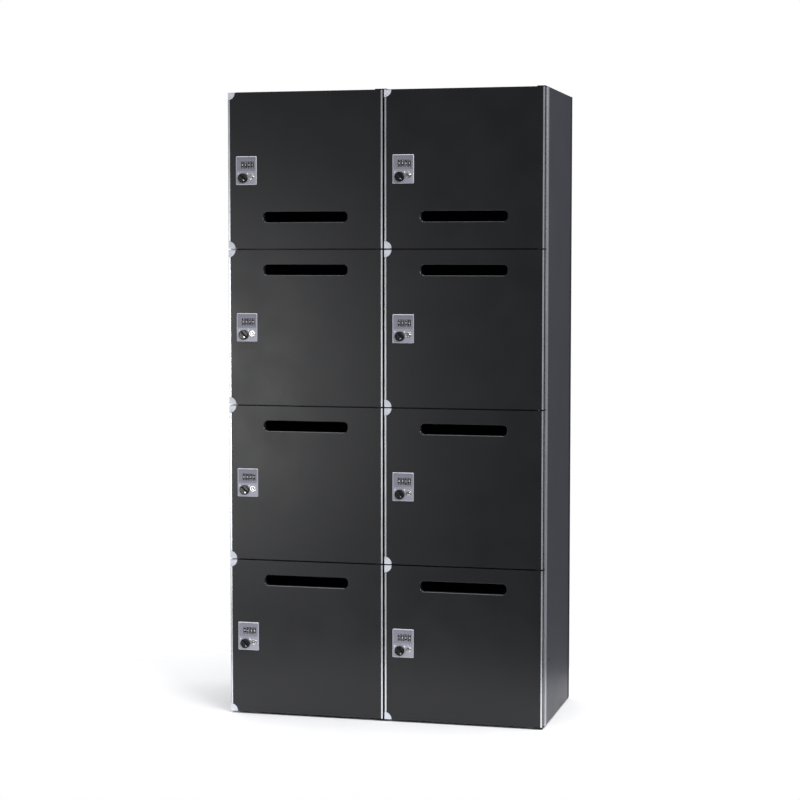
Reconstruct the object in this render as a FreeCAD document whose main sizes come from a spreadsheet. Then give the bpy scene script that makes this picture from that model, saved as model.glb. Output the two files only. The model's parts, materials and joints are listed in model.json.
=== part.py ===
import FreeCAD, Part
import Sketcher
import math
import operator
import os
from types import SimpleNamespace

# Parcel locker: a free-standing cabinet of two columns of four compartments. Each compartment
# has a full-overlay door that turns on pivot pins at its right edge, a letter slot, and a
# combination cam lock at its left edge.
# Frame: +Z up, the doors face -Y, the origin is on the floor under the middle of the whole
# piece, knobs and screw heads included.
# Lengths are in millimetres.

ROWS = 4
COLUMNS = {"left": -1, "right": 1}
DIALS = 4
TOUCH = 1e-4

SIZES = {
    # overall
    "cabinet_width": 928,
    "cabinet_height": 1800,
    "cabinet_depth": 440,
    # doors and the gaps round them
    "door_thickness": 18,
    "heel_clearance": 0.4,
    "end_reveal": 3,
    "side_reveal": 2,
    "seam_gap": 4,
    "column_gap": 4,
    # carcass
    "wall_thickness": 20,
    "board_thickness": 18,
    "back_thickness": 6,
    "front_post_depth": 25,
    "rear_post_depth": 20,
    "side_panel_inset": 1,
    # letter slot
    "slot_length": 250,
    "slot_height": 30,
    "slot_corner": 12,
    "slot_chamfer": 1.5,
    "top_slot_above_door_foot": 90,
    "slot_below_door_head": 57,
    # edge profile and corner piece
    "profile_width": 6,
    "profile_flat": 0.5,
    "profile_front_round": 1.5,
    "tongue_depth": 5,
    "tongue_thickness": 2,
    "corner_radius": 21,
    "corner_proud": 0.8,
    # pivots
    "pin_radius": 3,
    "pin_wall": 1,
    "pin_grip": 12,
    "pin_end_gap": 0.5,
    "plate_thickness": 2,
    "plate_reach": 8,
    "plate_tail_width": 16,
    "plate_tail_depth": 20,
    # combination lock, measured from the lock plate's corners
    "lock_plate_width": 62.5,
    "lock_plate_height": 82,
    "lock_plate_proud": 4,
    "lock_body_right": 4,
    "lock_side_wall": 4,
    "lock_end_wall": 3,
    "lock_body_ends": 6,
    "lock_body_behind": 20,
    "lock_face_wall": 2.5,
    "dial_radius": 15,
    "dial_recess": 0.5,
    "dial_width": 8,
    "dial_pitch": 10,
    "dial_headroom": 1,
    "dial_axle_radius": 2,
    "window_width": 8.6,
    "window_height": 24,
    "knob_across": 22,
    "knob_down": 62.5,
    "knob_radius": 14,
    "knob_height": 6,
    "grip_height": 6,
    "grip_width": 7,
    "spindle_radius": 4,
    "key_from_right": 15,
    "key_down": 58.5,
    "key_radius": 6,
    "key_length": 30,
    "key_bezel_radius": 8.5,
    "key_bezel_proud": 1.5,
    "keyway_width": 1.6,
    "keyway_height": 7,
    "keyway_depth": 8,
    # cam and keeper
    "cam_overlap": 8,
    "cam_width": 12,
    "cam_thickness": 2.5,
    "cam_gap": 1,
    "cam_play": 1.5,
    "keeper_thickness": 2,
    "keeper_height": 30,
    "keeper_depth": 30,
    "keeper_reach": 14.5,
    "keeper_short_of_lock": 3,
    # feet
    "foot_height": 3,
    "foot_radius": 20,
    "foot_stud_radius": 4,
    "foot_stud_length": 14,
    "foot_inset": 55,
    # fixings
    "screw_radius": 2,
    "screw_length": 26,
    "screw_head_radius": 4,
    "screw_head_height": 1.5,
    "wall_hole_radius": 3.5,
    "wall_hole_spacing": 464,
    "wall_hole_below_top": 60,
    "joining_hole_radius": 3.5,
    "joining_hole_back": 92,
    "joining_hole_up": 180,
    # clearances
    "running_clearance": 0.05,
    "fitting_clearance": 0.1,
    "turning_clearance": 0.3,
}

document = FreeCAD.newDocument("parcel_locker")
sheet = document.addObject("Spreadsheet::Sheet", "Sizes")
for line, (alias, number) in enumerate(SIZES.items(), start=1):
    sheet.set(f"A{line}", alias)
    sheet.set(f"B{line}", str(number))
    sheet.setAlias(f"B{line}", alias)
document.recompute()

OPERATIONS = {"+": operator.add, "-": operator.sub, "*": operator.mul, "/": operator.truediv}


class Size:
    """A length that knows both its number and its formula in the sheet's cells."""

    def __init__(self, number, formula):
        self.number = float(number)
        self.formula = formula

    def joined(self, sign, other):
        other = as_size(other)
        number = OPERATIONS[sign](self.number, other.number)
        return Size(number, f"({self.formula} {sign} {other.formula})")

    def __add__(self, other):
        return self.joined("+", other)

    def __sub__(self, other):
        return self.joined("-", other)

    def __mul__(self, other):
        return self.joined("*", other)

    def __truediv__(self, other):
        return self.joined("/", other)

    def __neg__(self):
        return self * -1


def hypotenuse(across, along):
    """The long side of a right-angled triangle."""
    return Size(math.hypot(across.number, along.number),
                f"sqrt({across.formula} ^ 2 + {along.formula} ^ 2)")


def as_size(value):
    """A Size as it is, or a plain number as one."""
    return value if isinstance(value, Size) else Size(value, f"({value})")


def cell(alias):
    """The driving dimension that the sheet holds under this alias."""
    return Size(sheet.get(alias), f"Sizes.{alias}")


size = SimpleNamespace(**{alias: cell(alias) for alias in SIZES})


def bind(thing, prop, length):
    """Ties one property of an object to a length."""
    thing.setExpression(prop, as_size(length).formula)


def put(thing, x, y, z):
    """Ties an object's place to three lengths."""
    for axis, length in zip("xyz", (x, y, z)):
        bind(thing, f"Placement.Base.{axis}", length)
    return thing


# ---------------------------------------------------------------- solids from primitives

def block(name, x, y, z):
    """A box between a low and a high place along each axis."""
    solid = document.addObject("Part::Box", name)
    for prop, (low, high) in zip(("Length", "Width", "Height"), (x, y, z)):
        bind(solid, prop, as_size(high) - low)
    return put(solid, x[0], y[0], z[0])


TURNS = {
    "x": FreeCAD.Rotation(FreeCAD.Vector(0, 1, 0), 90),
    "y": FreeCAD.Rotation(FreeCAD.Vector(1, 0, 0), -90),
    "z": FreeCAD.Rotation(),
}
GRIP_TURN = FreeCAD.Rotation(FreeCAD.Vector(0, 1, 0), -45)
SLANT = math.sqrt(0.5)


def rod(name, axis, start, radius, length):
    """A cylinder that runs from start in the positive direction of an axis."""
    solid = document.addObject("Part::Cylinder", name)
    solid.Placement = FreeCAD.Placement(FreeCAD.Vector(), TURNS[axis])
    bind(solid, "Radius", radius)
    bind(solid, "Height", length)
    return put(solid, *start)


def fused(name, solids):
    """One solid made of several that share a face or overlap."""
    result = document.addObject("Part::MultiFuse", name)
    result.Shapes = solids
    result.Refine = True
    return result


def cut(name, base, tools):
    """The base with the tools taken away."""
    tool = tools[0]
    if len(tools) > 1:
        tool = grouped(f"{name}_tools", tools)
    result = document.addObject("Part::Cut", name)
    result.Base = base
    result.Tool = tool
    return result


def common(name, first, second):
    """What two solids share."""
    result = document.addObject("Part::Common", name)
    result.Base = first
    result.Tool = second
    return result


def grouped(name, solids):
    """Several separate solids in one object."""
    result = document.addObject("Part::Compound", name)
    result.Links = solids
    return result


# ---------------------------------------------------------------- solids from sketches

def new_body(name):
    """An empty body whose placement can be tied to sizes."""
    return document.addObject("PartDesign::Body", name)


def new_sketch(body, name, role, lift=None):
    """A sketch on one of the body's own origin planes, lifted along its normal if asked."""
    plane = next(item for item in body.Origin.OriginFeatures if item.Role == role)
    sketch = body.newObject("Sketcher::SketchObject", name)
    sketch.AttachmentSupport = [(plane, "")]
    sketch.MapMode = "FlatFace"
    if lift is not None:
        bind(sketch, "AttachmentOffset.Base.z", lift)
    return sketch


def fix(sketch, geometry, point, x, y):
    """Ties a sketch point to two lengths counted from the sketch's origin."""
    for kind, length in (("DistanceX", as_size(x)), ("DistanceY", as_size(y))):
        index = sketch.addConstraint(Sketcher.Constraint(kind, -1, 1, geometry, point, length.number))
        bind(sketch, f"Constraints[{index}]", length)


def draw_rectangle(sketch, low_x, high_x, low_y, high_y):
    """A rectangle tied by two opposite corners."""
    xs = [as_size(x).number for x in (low_x, high_x, high_x, low_x)]
    ys = [as_size(y).number for y in (low_y, low_y, high_y, high_y)]
    corners = [FreeCAD.Vector(x, y, 0) for x, y in zip(xs, ys)]
    first = sketch.GeometryCount
    for side in range(4):
        sketch.addGeometry(Part.LineSegment(corners[side], corners[(side + 1) % 4]))
    for side in range(4):
        following = first + (side + 1) % 4
        sketch.addConstraint(Sketcher.Constraint("Coincident", first + side, 2, following, 1))
        direction = "Vertical" if side % 2 else "Horizontal"
        sketch.addConstraint(Sketcher.Constraint(direction, first + side))
    fix(sketch, first, 1, low_x, low_y)
    fix(sketch, first + 1, 2, high_x, high_y)


def draw_circle(sketch, x, y, radius):
    """A circle tied by its centre and radius."""
    centre = FreeCAD.Vector(as_size(x).number, as_size(y).number, 0)
    index = sketch.addGeometry(Part.Circle(centre, FreeCAD.Vector(0, 0, 1), radius.number))
    fix(sketch, index, 3, x, y)
    limit = sketch.addConstraint(Sketcher.Constraint("Radius", index, radius.number))
    bind(sketch, f"Constraints[{limit}]", radius)


def pad(body, sketch, length, backwards=False):
    """Material from a sketch."""
    feature = body.newObject("PartDesign::Pad", f"{sketch.Name}_pad")
    feature.Profile = sketch
    feature.Reversed = backwards
    bind(feature, "Length", length)
    body.Tip = feature
    return feature


def pocket(body, sketch, depth=None):
    """A cut to both sides of a sketch, right through or to a depth on either side."""
    document.recompute()
    before = body.Shape.Volume
    feature = body.newObject("PartDesign::Pocket", f"{sketch.Name}_pocket")
    feature.Profile = sketch
    feature.Midplane = True
    if depth is None:
        feature.Type = "ThroughAll"
    else:
        bind(feature, "Length", depth * 2)
    body.Tip = feature
    document.recompute()
    if body.Shape.Volume >= before:
        raise RuntimeError(f"{feature.Label} removed nothing")
    return feature


def dress(body, kind, prop, length, test):
    """A fillet or a chamfer along the edges whose start and end pass the test."""
    document.recompute()
    base = body.Tip
    names = [f"Edge{number}" for number, edge in enumerate(base.Shape.Edges, start=1)
             if test(edge.Vertexes[0].Point, edge.Vertexes[-1].Point)]
    if not names:
        raise RuntimeError(f"{body.Label}: no edges to dress")
    feature = body.newObject(f"PartDesign::{kind}", f"{body.Name}_{kind.lower()}")
    feature.Base = (base, names)
    bind(feature, prop, length)
    body.Tip = feature
    return feature


def in_order(first, second):
    """Two lengths, the lower one first."""
    return sorted((as_size(first), as_size(second)), key=lambda length: length.number)


def close(first, second):
    """True where two coordinates agree."""
    return abs(first - as_size(second).number) < TOUCH


# ---------------------------------------------------------------- shared places

half_width = size.cabinet_width / 2
knob_projection = (size.lock_plate_proud + size.turning_clearance + size.knob_height
                   + size.grip_height)
overall_depth = knob_projection + size.cabinet_depth + size.screw_head_height
front = knob_projection - overall_depth / 2
back = front + size.cabinet_depth
door_back = front + size.door_thickness
half_door = size.door_thickness / 2

# A door turns on pins that lie just inside the tongue of its edge profile. Its rounded heel
# sweeps a circle about them, and the carcass stands off to let it pass.
profile_round = size.profile_width - size.profile_flat
pivot_from_edge = size.profile_width + size.tongue_depth + size.pin_wall + size.pin_radius
heel_sweep = hypotenuse(pivot_from_edge - profile_round, half_door - profile_round) + profile_round
carcass_front = front + half_door + heel_sweep + size.heel_clearance
panels_back = back - size.back_thickness
floor = size.foot_height
top = floor + size.cabinet_height

door_width = (size.cabinet_width - size.side_reveal * 2 - size.column_gap) / 2
door_height = (size.cabinet_height - size.end_reveal * 2 - size.seam_gap * (ROWS - 1)) / ROWS
row_pitch = door_height + size.seam_gap
pivot_y = front + half_door

# The lock's body is as wide as its dials need. It stands clear of the keeper, which stands on
# the wall that the door's edge covers, so the lock's place on the door follows from both.
dial_room = size.dial_pitch * (DIALS - 1) / 2 + size.dial_width / 2 + size.turning_clearance * 2
dial_reach = size.dial_radius + size.dial_headroom
lock_body_width = (dial_room + size.lock_side_wall) * 2
lock_body_left = size.lock_plate_width - size.lock_body_right - lock_body_width
lock_body_from_edge = (size.wall_thickness - size.side_reveal + size.keeper_reach
                       + size.keeper_short_of_lock)
lock_from_edge = lock_body_from_edge - lock_body_left
dial_across = lock_body_left + lock_body_width / 2
dial_down = size.lock_body_ends + size.lock_end_wall + dial_reach
key_across = size.lock_plate_width - size.key_from_right
cam_reach = size.knob_across - lock_body_left + size.keeper_short_of_lock + size.cam_overlap
lock_plate_front = front - size.lock_plate_proud
lock_body_back = door_back + size.lock_body_behind
cam_front = lock_body_back + size.cam_gap

ROW_NUMBERS = range(1, ROWS + 1)
DOORS = [(column, row) for column in COLUMNS for row in ROW_NUMBERS]


def door_left(column):
    """The left edge of a column's doors."""
    if COLUMNS[column] < 0:
        return size.column_gap / -2 - door_width
    return size.column_gap / 2


def door_foot(row):
    """The lower edge of a row's doors, counting rows from the top."""
    return floor + size.end_reveal + row_pitch * (ROWS - row)


def seam(row):
    """The middle of the gap under a row's doors."""
    return door_foot(row) - size.seam_gap / 2


def bay(column):
    """The inner faces of a column's walls, left then right."""
    outer = half_width - size.wall_thickness
    inner = size.wall_thickness / 2
    return (-outer, -inner) if COLUMNS[column] < 0 else (inner, outer)


def hinge_wall_centre(column):
    """The middle of the wall that carries a column's pivots."""
    if COLUMNS[column] < 0:
        return as_size(0)
    return half_width - size.wall_thickness / 2


def pivot_x(column):
    return door_left(column) + door_width - pivot_from_edge


def lock_place(column, row, across, down):
    """A place on a door's lock, from the plate's top left corner."""
    left = door_left(column) + lock_from_edge
    plate_top = door_foot(row) + door_height / 2 + size.lock_plate_height / 2
    return left + across, plate_top - down


# ---------------------------------------------------------------- pivots

def plate_levels():
    """Each pivot plate's low and high face, and its pin's: head, the seams between doors, foot."""
    levels = [((top - size.plate_thickness, top),
               (top - size.end_reveal - size.pin_grip, top))]
    for row in ROW_NUMBERS[:-1]:
        middle = seam(row)
        reach = size.seam_gap / 2 + size.pin_grip
        levels.append(((middle - size.plate_thickness / 2, middle + size.plate_thickness / 2),
                       (middle - reach, middle + reach)))
    levels.append(((floor, floor + size.plate_thickness),
                   (floor, floor + size.end_reveal + size.pin_grip)))
    return levels


def pivot_plate(name, column, plate_z, pin_z):
    """A flat plate let into the wall's front edge, with a pin riveted through its head."""
    axis = pivot_x(column)
    wall = hinge_wall_centre(column)
    tail_x = (wall - size.plate_tail_width / 2, wall + size.plate_tail_width / 2)
    head = block(f"{name}_head", (axis - size.plate_reach, tail_x[1]),
                 (pivot_y - size.plate_reach, carcass_front), plate_z)
    tail = block(f"{name}_tail", tail_x, (carcass_front, carcass_front + size.plate_tail_depth),
                 plate_z)
    pin = rod(f"{name}_pin", "z", (axis, pivot_y, pin_z[0]), size.pin_radius, pin_z[1] - pin_z[0])
    return fused(name, [head, tail, pin])


def plate_seat(name, column, plate_z):
    """The room that a plate's tail needs in the wall."""
    wall = hinge_wall_centre(column)
    half = size.plate_tail_width / 2 + size.fitting_clearance
    return block(name, (wall - half, wall + half),
                 (door_back, carcass_front + size.plate_tail_depth + size.fitting_clearance),
                 (plate_z[0] - size.fitting_clearance, plate_z[1] + size.fitting_clearance))


def plate_seats(name, column, levels):
    return [plate_seat(f"{name}_seat_{number}", column, plate_z)
            for number, (plate_z, pin_z) in enumerate(levels)]


def make_pivot_brackets():
    plates = []
    for column in COLUMNS:
        for number, (plate_z, pin_z) in enumerate(plate_levels()):
            plates.append(pivot_plate(f"pivot_{column}_{number}", column, plate_z, pin_z))
    return grouped("pivot_brackets", plates)


# ---------------------------------------------------------------- carcass

def screw_places():
    """Where screws hold the back panel to the boards and the partition."""
    board_levels = [top - size.board_thickness / 2, floor + size.board_thickness / 2]
    board_levels += [seam(row) for row in ROW_NUMBERS[:-1]]
    places = []
    for column in COLUMNS:
        left, right = bay(column)
        quarter = (right - left) / 4
        places += [(x, z) for z in board_levels for x in (left + quarter, right - quarter)]
    places += [(as_size(0), door_foot(row) + door_height / 2) for row in ROW_NUMBERS]
    return places


def screw_holes(name):
    """Room for every back panel screw, to be cut from the pieces that they hold."""
    radius = size.screw_radius + size.running_clearance
    start = back - size.screw_length - size.fitting_clearance
    return [rod(f"{name}_screw_hole_{number}", "y", (x, start, z), radius, back - start)
            for number, (x, z) in enumerate(screw_places())]


def make_back_panel_screws():
    screws = []
    for number, (x, z) in enumerate(screw_places()):
        shank = rod(f"screw_shank_{number}", "y", (x, back - size.screw_length, z),
                    size.screw_radius, size.screw_length)
        head = rod(f"screw_head_{number}", "y", (x, back, z),
                   size.screw_head_radius, size.screw_head_height)
        screws.append(fused(f"screw_{number}", [shank, head]))
    return grouped("back_panel_screws", screws)


def make_side_panel(name, side):
    """A side wall's board between its posts, with the hole for a joining bolt."""
    outer = half_width - size.side_panel_inset
    inner = half_width - size.wall_thickness
    x = (inner, outer) if side > 0 else (-outer, -inner)
    board = block(f"{name}_board", x,
                  (carcass_front + size.front_post_depth, back - size.rear_post_depth),
                  (floor, top))
    hole = rod(f"{name}_hole", "x",
               (x[0], front + size.joining_hole_back, floor + size.joining_hole_up),
               size.joining_hole_radius, x[1] - x[0])
    return cut(name, board, [hole])


def make_corner_posts():
    """Four square posts; the one beside the right column's pivots is slotted for their plates."""
    posts = []
    for side_name, side in (("left", -1), ("right", 1)):
        inner = half_width - size.wall_thickness
        x = (inner, half_width) if side > 0 else (-half_width, -inner)
        post = block(f"front_post_{side_name}", x,
                     (carcass_front, carcass_front + size.front_post_depth), (floor, top))
        if side > 0:
            post = cut("slotted_post", post, plate_seats("post", "right", plate_levels()))
        posts.append(post)
        posts.append(block(f"rear_post_{side_name}", x, (back - size.rear_post_depth, back),
                           (floor, top)))
    return grouped("corner_posts", posts)


def board_across(name, z):
    """A horizontal board between the side walls."""
    inner = half_width - size.wall_thickness
    return block(name, (-inner, inner), (carcass_front, panels_back), z)


def make_top_panel():
    board = board_across("top_board", (top - size.board_thickness, top))
    seats = plate_seats("top", "left", plate_levels()[:1])
    return cut("top_panel", board, seats + screw_holes("top"))


def foot_places():
    """Where the feet stand: along the front and the back, at both ends and in the middle."""
    reach = half_width - size.foot_inset
    return [(x, y) for x in (-reach, as_size(0), reach)
            for y in (carcass_front + size.foot_inset, back - size.foot_inset)]


def make_bottom_panel():
    board = board_across("bottom_board", (floor, floor + size.board_thickness))
    seats = plate_seats("bottom", "left", plate_levels()[-1:])
    radius = size.foot_stud_radius + size.running_clearance
    depth = size.foot_stud_length + size.fitting_clearance
    bores = [rod(f"foot_bore_{number}", "z", (x, y, floor), radius, depth)
             for number, (x, y) in enumerate(foot_places())]
    return cut("bottom_panel", board, seats + bores + screw_holes("bottom"))


def make_levelling_feet():
    feet = []
    for number, (x, y) in enumerate(foot_places()):
        disc = rod(f"foot_disc_{number}", "z", (x, y, 0), size.foot_radius, size.foot_height)
        stud = rod(f"foot_stud_{number}", "z", (x, y, floor),
                   size.foot_stud_radius, size.foot_stud_length)
        feet.append(fused(f"foot_{number}", [disc, stud]))
    return grouped("levelling_feet", feet)


def make_centre_partition():
    half = size.wall_thickness / 2
    board = block("partition_board", (-half, half), (carcass_front, panels_back),
                  (floor + size.board_thickness, top - size.board_thickness))
    seats = plate_seats("partition", "left", plate_levels()[1:-1])
    return cut("centre_partition", board, seats + screw_holes("partition"))


def make_shelves():
    boards = []
    for column in COLUMNS:
        for row in ROW_NUMBERS[:-1]:
            middle = seam(row)
            boards.append(block(f"shelf_{column}_{row}", bay(column), (carcass_front, panels_back),
                                (middle - size.board_thickness / 2,
                                 middle + size.board_thickness / 2)))
    return cut("shelves", grouped("shelf_boards", boards), screw_holes("shelf"))


def make_back_panel():
    """The back board, with two holes for fixing the cabinet to a wall."""
    inner = half_width - size.wall_thickness
    board = block("back_board", (-inner, inner), (panels_back, back), (floor, top))
    holes = [rod(f"wall_hole_{number}", "y",
                 (size.wall_hole_spacing * side / 2, panels_back, top - size.wall_hole_below_top),
                 size.wall_hole_radius, size.back_thickness)
             for number, side in enumerate((-1, 1))]
    return cut("back_panel", board, holes + screw_holes("back"))


def make_keeper(column, row):
    """An angle on the wall beside the lock; the cam turns in behind its flange."""
    name = f"keeper_{column}_{row}"
    wall = bay(column)[0]
    middle = lock_place(column, row, size.knob_across, size.knob_down)[1]
    z = (middle - size.keeper_height / 2, middle + size.keeper_height / 2)
    flange_end = door_left(column) + lock_body_from_edge - size.keeper_short_of_lock
    flange_front = cam_front - size.cam_play - size.keeper_thickness
    base = block(f"{name}_base", (wall, wall + size.keeper_thickness),
                 (flange_front, flange_front + size.keeper_depth), z)
    flange = block(f"{name}_flange", (wall, flange_end),
                   (flange_front, flange_front + size.keeper_thickness), z)
    return fused(name, [base, flange])


# ---------------------------------------------------------------- doors

def slot_middle(row):
    """The letter slot's height above its own door's lower edge."""
    if row == 1:
        return size.top_slot_above_door_foot
    return door_height - size.slot_below_door_head


def in_slot(row, point):
    """True for a point on the wall of a door's letter slot."""
    across = abs(point.x - door_width.number / 2)
    up = abs(point.z - slot_middle(row).number)
    return (across < size.slot_length.number / 2 + TOUCH
            and up < size.slot_height.number / 2 + TOUCH)


def is_slot_corner(row, start, end):
    """True for an edge that crosses the board in a corner of the slot."""
    across = close(abs(start.y - end.y), size.door_thickness)
    return across and in_slot(row, start) and in_slot(row, end)


def is_slot_rim(row, start, end):
    """True for an edge round the slot's mouth, on the door's face."""
    return in_slot(row, start) and in_slot(row, end) and close(start.y, 0) and close(end.y, 0)


def make_door(column, row):
    """A door board between its edge profiles, notched for the corner pieces."""
    name = f"door_{column}_{row}"
    body = new_body(name)
    outline = new_sketch(body, f"{name}_outline", "XZ_Plane")
    draw_rectangle(outline, size.profile_width, door_width - size.profile_width, 0, door_height)
    pad(body, outline, size.door_thickness, backwards=True)

    notches = new_sketch(body, f"{name}_notches", "XZ_Plane")
    for z in (0, door_height):
        draw_circle(notches, 0, z, size.corner_radius + size.fitting_clearance)
    pocket(body, notches)

    plate_foot = door_height / 2 - size.lock_plate_height / 2
    opening = new_sketch(body, f"{name}_lock_opening", "XZ_Plane")
    draw_rectangle(
        opening,
        lock_body_from_edge - size.fitting_clearance,
        lock_body_from_edge + lock_body_width + size.fitting_clearance,
        plate_foot + size.lock_body_ends - size.fitting_clearance,
        plate_foot + size.lock_plate_height - size.lock_body_ends + size.fitting_clearance)
    pocket(body, opening)

    slot = new_sketch(body, f"{name}_slot", "XZ_Plane")
    draw_rectangle(slot, door_width / 2 - size.slot_length / 2, door_width / 2 + size.slot_length / 2,
                   slot_middle(row) - size.slot_height / 2, slot_middle(row) + size.slot_height / 2)
    pocket(body, slot)
    dress(body, "Fillet", "Radius", size.slot_corner,
          lambda start, end: is_slot_corner(row, start, end))
    dress(body, "Chamfer", "Size", size.slot_chamfer,
          lambda start, end: is_slot_rim(row, start, end))

    grooves = new_sketch(body, f"{name}_grooves", "XY_Plane")
    half = size.tongue_thickness / 2 + size.fitting_clearance
    groove = size.profile_width + size.tongue_depth + size.fitting_clearance
    draw_rectangle(grooves, size.profile_width / 2, groove, half_door - half, half_door + half)
    draw_rectangle(grooves, door_width - groove, door_width - size.profile_width / 2,
                   half_door - half, half_door + half)
    pocket(body, grooves)

    for end, lift in (("foot", None), ("head", door_height)):
        bore = new_sketch(body, f"{name}_{end}_bore", "XY_Plane", lift)
        draw_circle(bore, door_width - pivot_from_edge, half_door,
                    size.pin_radius + size.running_clearance)
        pocket(body, bore, size.pin_grip + size.pin_end_gap)
    return put(body, door_left(column), front, door_foot(row))


def edge_profile(name, outward, length):
    """A rounded aluminium edge with a tongue; its inner face lies at the body's origin."""
    body = new_body(name)
    outer = size.profile_width * outward
    section = new_sketch(body, f"{name}_section", "XY_Plane")
    draw_rectangle(section, *in_order(outer, 0), 0, size.door_thickness)
    pad(body, section, length)
    tongue = new_sketch(body, f"{name}_tongue", "XY_Plane")
    half = size.tongue_thickness / 2
    draw_rectangle(tongue, *in_order(size.tongue_depth * -outward, 0),
                   half_door - half, half_door + half)
    pad(body, tongue, length)

    def is_outer_corner(start, end, depth):
        upright = close(start.x, outer) and close(end.x, outer) and close(abs(start.z - end.z), length)
        return upright and close(start.y, depth)

    dress(body, "Fillet", "Radius", size.profile_front_round,
          lambda start, end: is_outer_corner(start, end, 0))
    dress(body, "Fillet", "Radius", profile_round,
          lambda start, end: is_outer_corner(start, end, size.door_thickness))
    return body


def corner_piece(name, column, row, at_head):
    """A quarter-round moulding that fills the notch in a door's corner, a little proud of it."""
    left = door_left(column)
    foot = door_foot(row)
    corner = foot + door_height if at_head else foot
    z = in_order(corner, corner - size.corner_radius if at_head else corner + size.corner_radius)
    y = (front - size.corner_proud, door_back)
    disc = rod(f"{name}_disc", "y", (left, y[0], corner), size.corner_radius, y[1] - y[0])
    return common(name, disc, block(f"{name}_quarter", (left, left + size.corner_radius), y, z))


def make_edge_trim(column, row):
    """A door's two edge profiles and the two corner pieces at its lock side."""
    name = f"door_{column}_{row}_edge_trim"
    left = edge_profile(f"{name}_lock_side", -1, door_height - size.corner_radius * 2)
    put(left, door_left(column) + size.profile_width, front, door_foot(row) + size.corner_radius)
    right = edge_profile(f"{name}_hinge_side", 1, door_height)
    put(right, door_left(column) + door_width - size.profile_width, front, door_foot(row))
    corners = [corner_piece(f"{name}_{end}_corner", column, row, end == "head")
               for end in ("head", "foot")]
    return grouped(name, [left, right] + corners)


# ---------------------------------------------------------------- combination locks

def dial_offsets():
    """Each dial's place across the lock, from the middle of the four."""
    return [size.dial_pitch * (number - (DIALS - 1) / 2) for number in range(DIALS)]


def dial_axis(column, row):
    """The middle of the dials' axle."""
    x, z = lock_place(column, row, dial_across, dial_down)
    return x, lock_plate_front + size.dial_recess + size.dial_radius, z


def make_lock_case(column, row):
    """A plate on the door's face and a body through it, hollow for the dials and bored twice."""
    name = f"lock_{column}_{row}_case"
    left, head = lock_place(column, row, 0, 0)
    right, foot = lock_place(column, row, size.lock_plate_width, size.lock_plate_height)
    plate = block(f"{name}_plate", (left, right), (lock_plate_front, front), (foot, head))
    shell = block(f"{name}_shell",
                  (left + lock_body_left, right - size.lock_body_right),
                  (front, lock_body_back),
                  (foot + size.lock_body_ends, head - size.lock_body_ends))
    key_x, key_z = lock_place(column, row, key_across, size.key_down)
    bezel_front = lock_plate_front - size.key_bezel_proud
    bezel = rod(f"{name}_bezel", "y", (key_x, bezel_front, key_z), size.key_bezel_radius,
                front - bezel_front)
    solid = fused(f"{name}_solid", [plate, shell, bezel])

    axis_x, axis_y, axis_z = dial_axis(column, row)
    chamber = block(f"{name}_chamber", (axis_x - dial_room, axis_x + dial_room),
                    (lock_plate_front + size.lock_face_wall, axis_y + dial_reach),
                    (axis_z - dial_reach, axis_z + dial_reach))
    windows = [block(f"{name}_window_{number}",
                     (axis_x + offset - size.window_width / 2, axis_x + offset + size.window_width / 2),
                     (lock_plate_front, lock_plate_front + size.lock_face_wall),
                     (axis_z - size.window_height / 2, axis_z + size.window_height / 2))
               for number, offset in enumerate(dial_offsets())]
    spindle_x, spindle_z = lock_place(column, row, size.knob_across, size.knob_down)
    spindle_bore = rod(f"{name}_spindle_bore", "y", (spindle_x, lock_plate_front, spindle_z),
                       size.spindle_radius + size.running_clearance,
                       lock_body_back - lock_plate_front)
    key_bore = rod(f"{name}_key_bore", "y", (key_x, bezel_front, key_z),
                   size.key_radius + size.running_clearance,
                   size.key_length + size.turning_clearance)
    hollow = cut(f"{name}_hollow", solid, [chamber, spindle_bore, key_bore] + windows)
    axle = rod(f"{name}_axle", "x", (axis_x - dial_room, axis_y, axis_z), size.dial_axle_radius,
               dial_room * 2)
    return fused(name, [hollow, axle])


def make_dials(column, row):
    """Four number wheels on one axle."""
    name = f"lock_{column}_{row}_dials"
    axis_x, axis_y, axis_z = dial_axis(column, row)
    wheels = []
    for number, offset in enumerate(dial_offsets()):
        start = (axis_x + offset - size.dial_width / 2, axis_y, axis_z)
        disc = rod(f"{name}_disc_{number}", "x", start, size.dial_radius, size.dial_width)
        bore = rod(f"{name}_bore_{number}", "x", start,
                   size.dial_axle_radius + size.running_clearance, size.dial_width)
        wheels.append(cut(f"{name}_wheel_{number}", disc, [bore]))
    return grouped(name, wheels)


def make_knob(column, row):
    """A knob with a grip across it, its spindle through the case, and the cam on its end."""
    name = f"lock_{column}_{row}_knob"
    x, z = lock_place(column, row, size.knob_across, size.knob_down)
    knob_back = lock_plate_front - size.turning_clearance
    knob_face = knob_back - size.knob_height
    disc = rod(f"{name}_disc", "y", (x, knob_face, z), size.knob_radius, size.knob_height)
    grip_half = size.grip_width / 2
    grip_reach = size.knob_radius - size.grip_width / 4
    grip = block(f"{name}_grip", (x - grip_half, x + grip_half),
                 (knob_face - size.grip_height, knob_face), (z - grip_reach, z + grip_reach))
    grip.Placement = FreeCAD.Placement(FreeCAD.Vector(), GRIP_TURN)
    put(grip, x - (grip_half - grip_reach) * SLANT, knob_face - size.grip_height,
        z - (grip_half + grip_reach) * SLANT)
    spindle = rod(f"{name}_spindle", "y", (x, knob_back, z), size.spindle_radius,
                  cam_front - knob_back)
    cam_half = size.cam_width / 2
    cam_hub = rod(f"{name}_cam_hub", "y", (x, cam_front, z), cam_half, size.cam_thickness)
    cam_arm = block(f"{name}_cam_arm", (x - cam_half, x + cam_half),
                    (cam_front, cam_front + size.cam_thickness), (z, z + cam_reach))
    return grouped(name, [fused(f"{name}_turn", [disc, grip]), spindle,
                          fused(f"{name}_cam", [cam_hub, cam_arm])])


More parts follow.
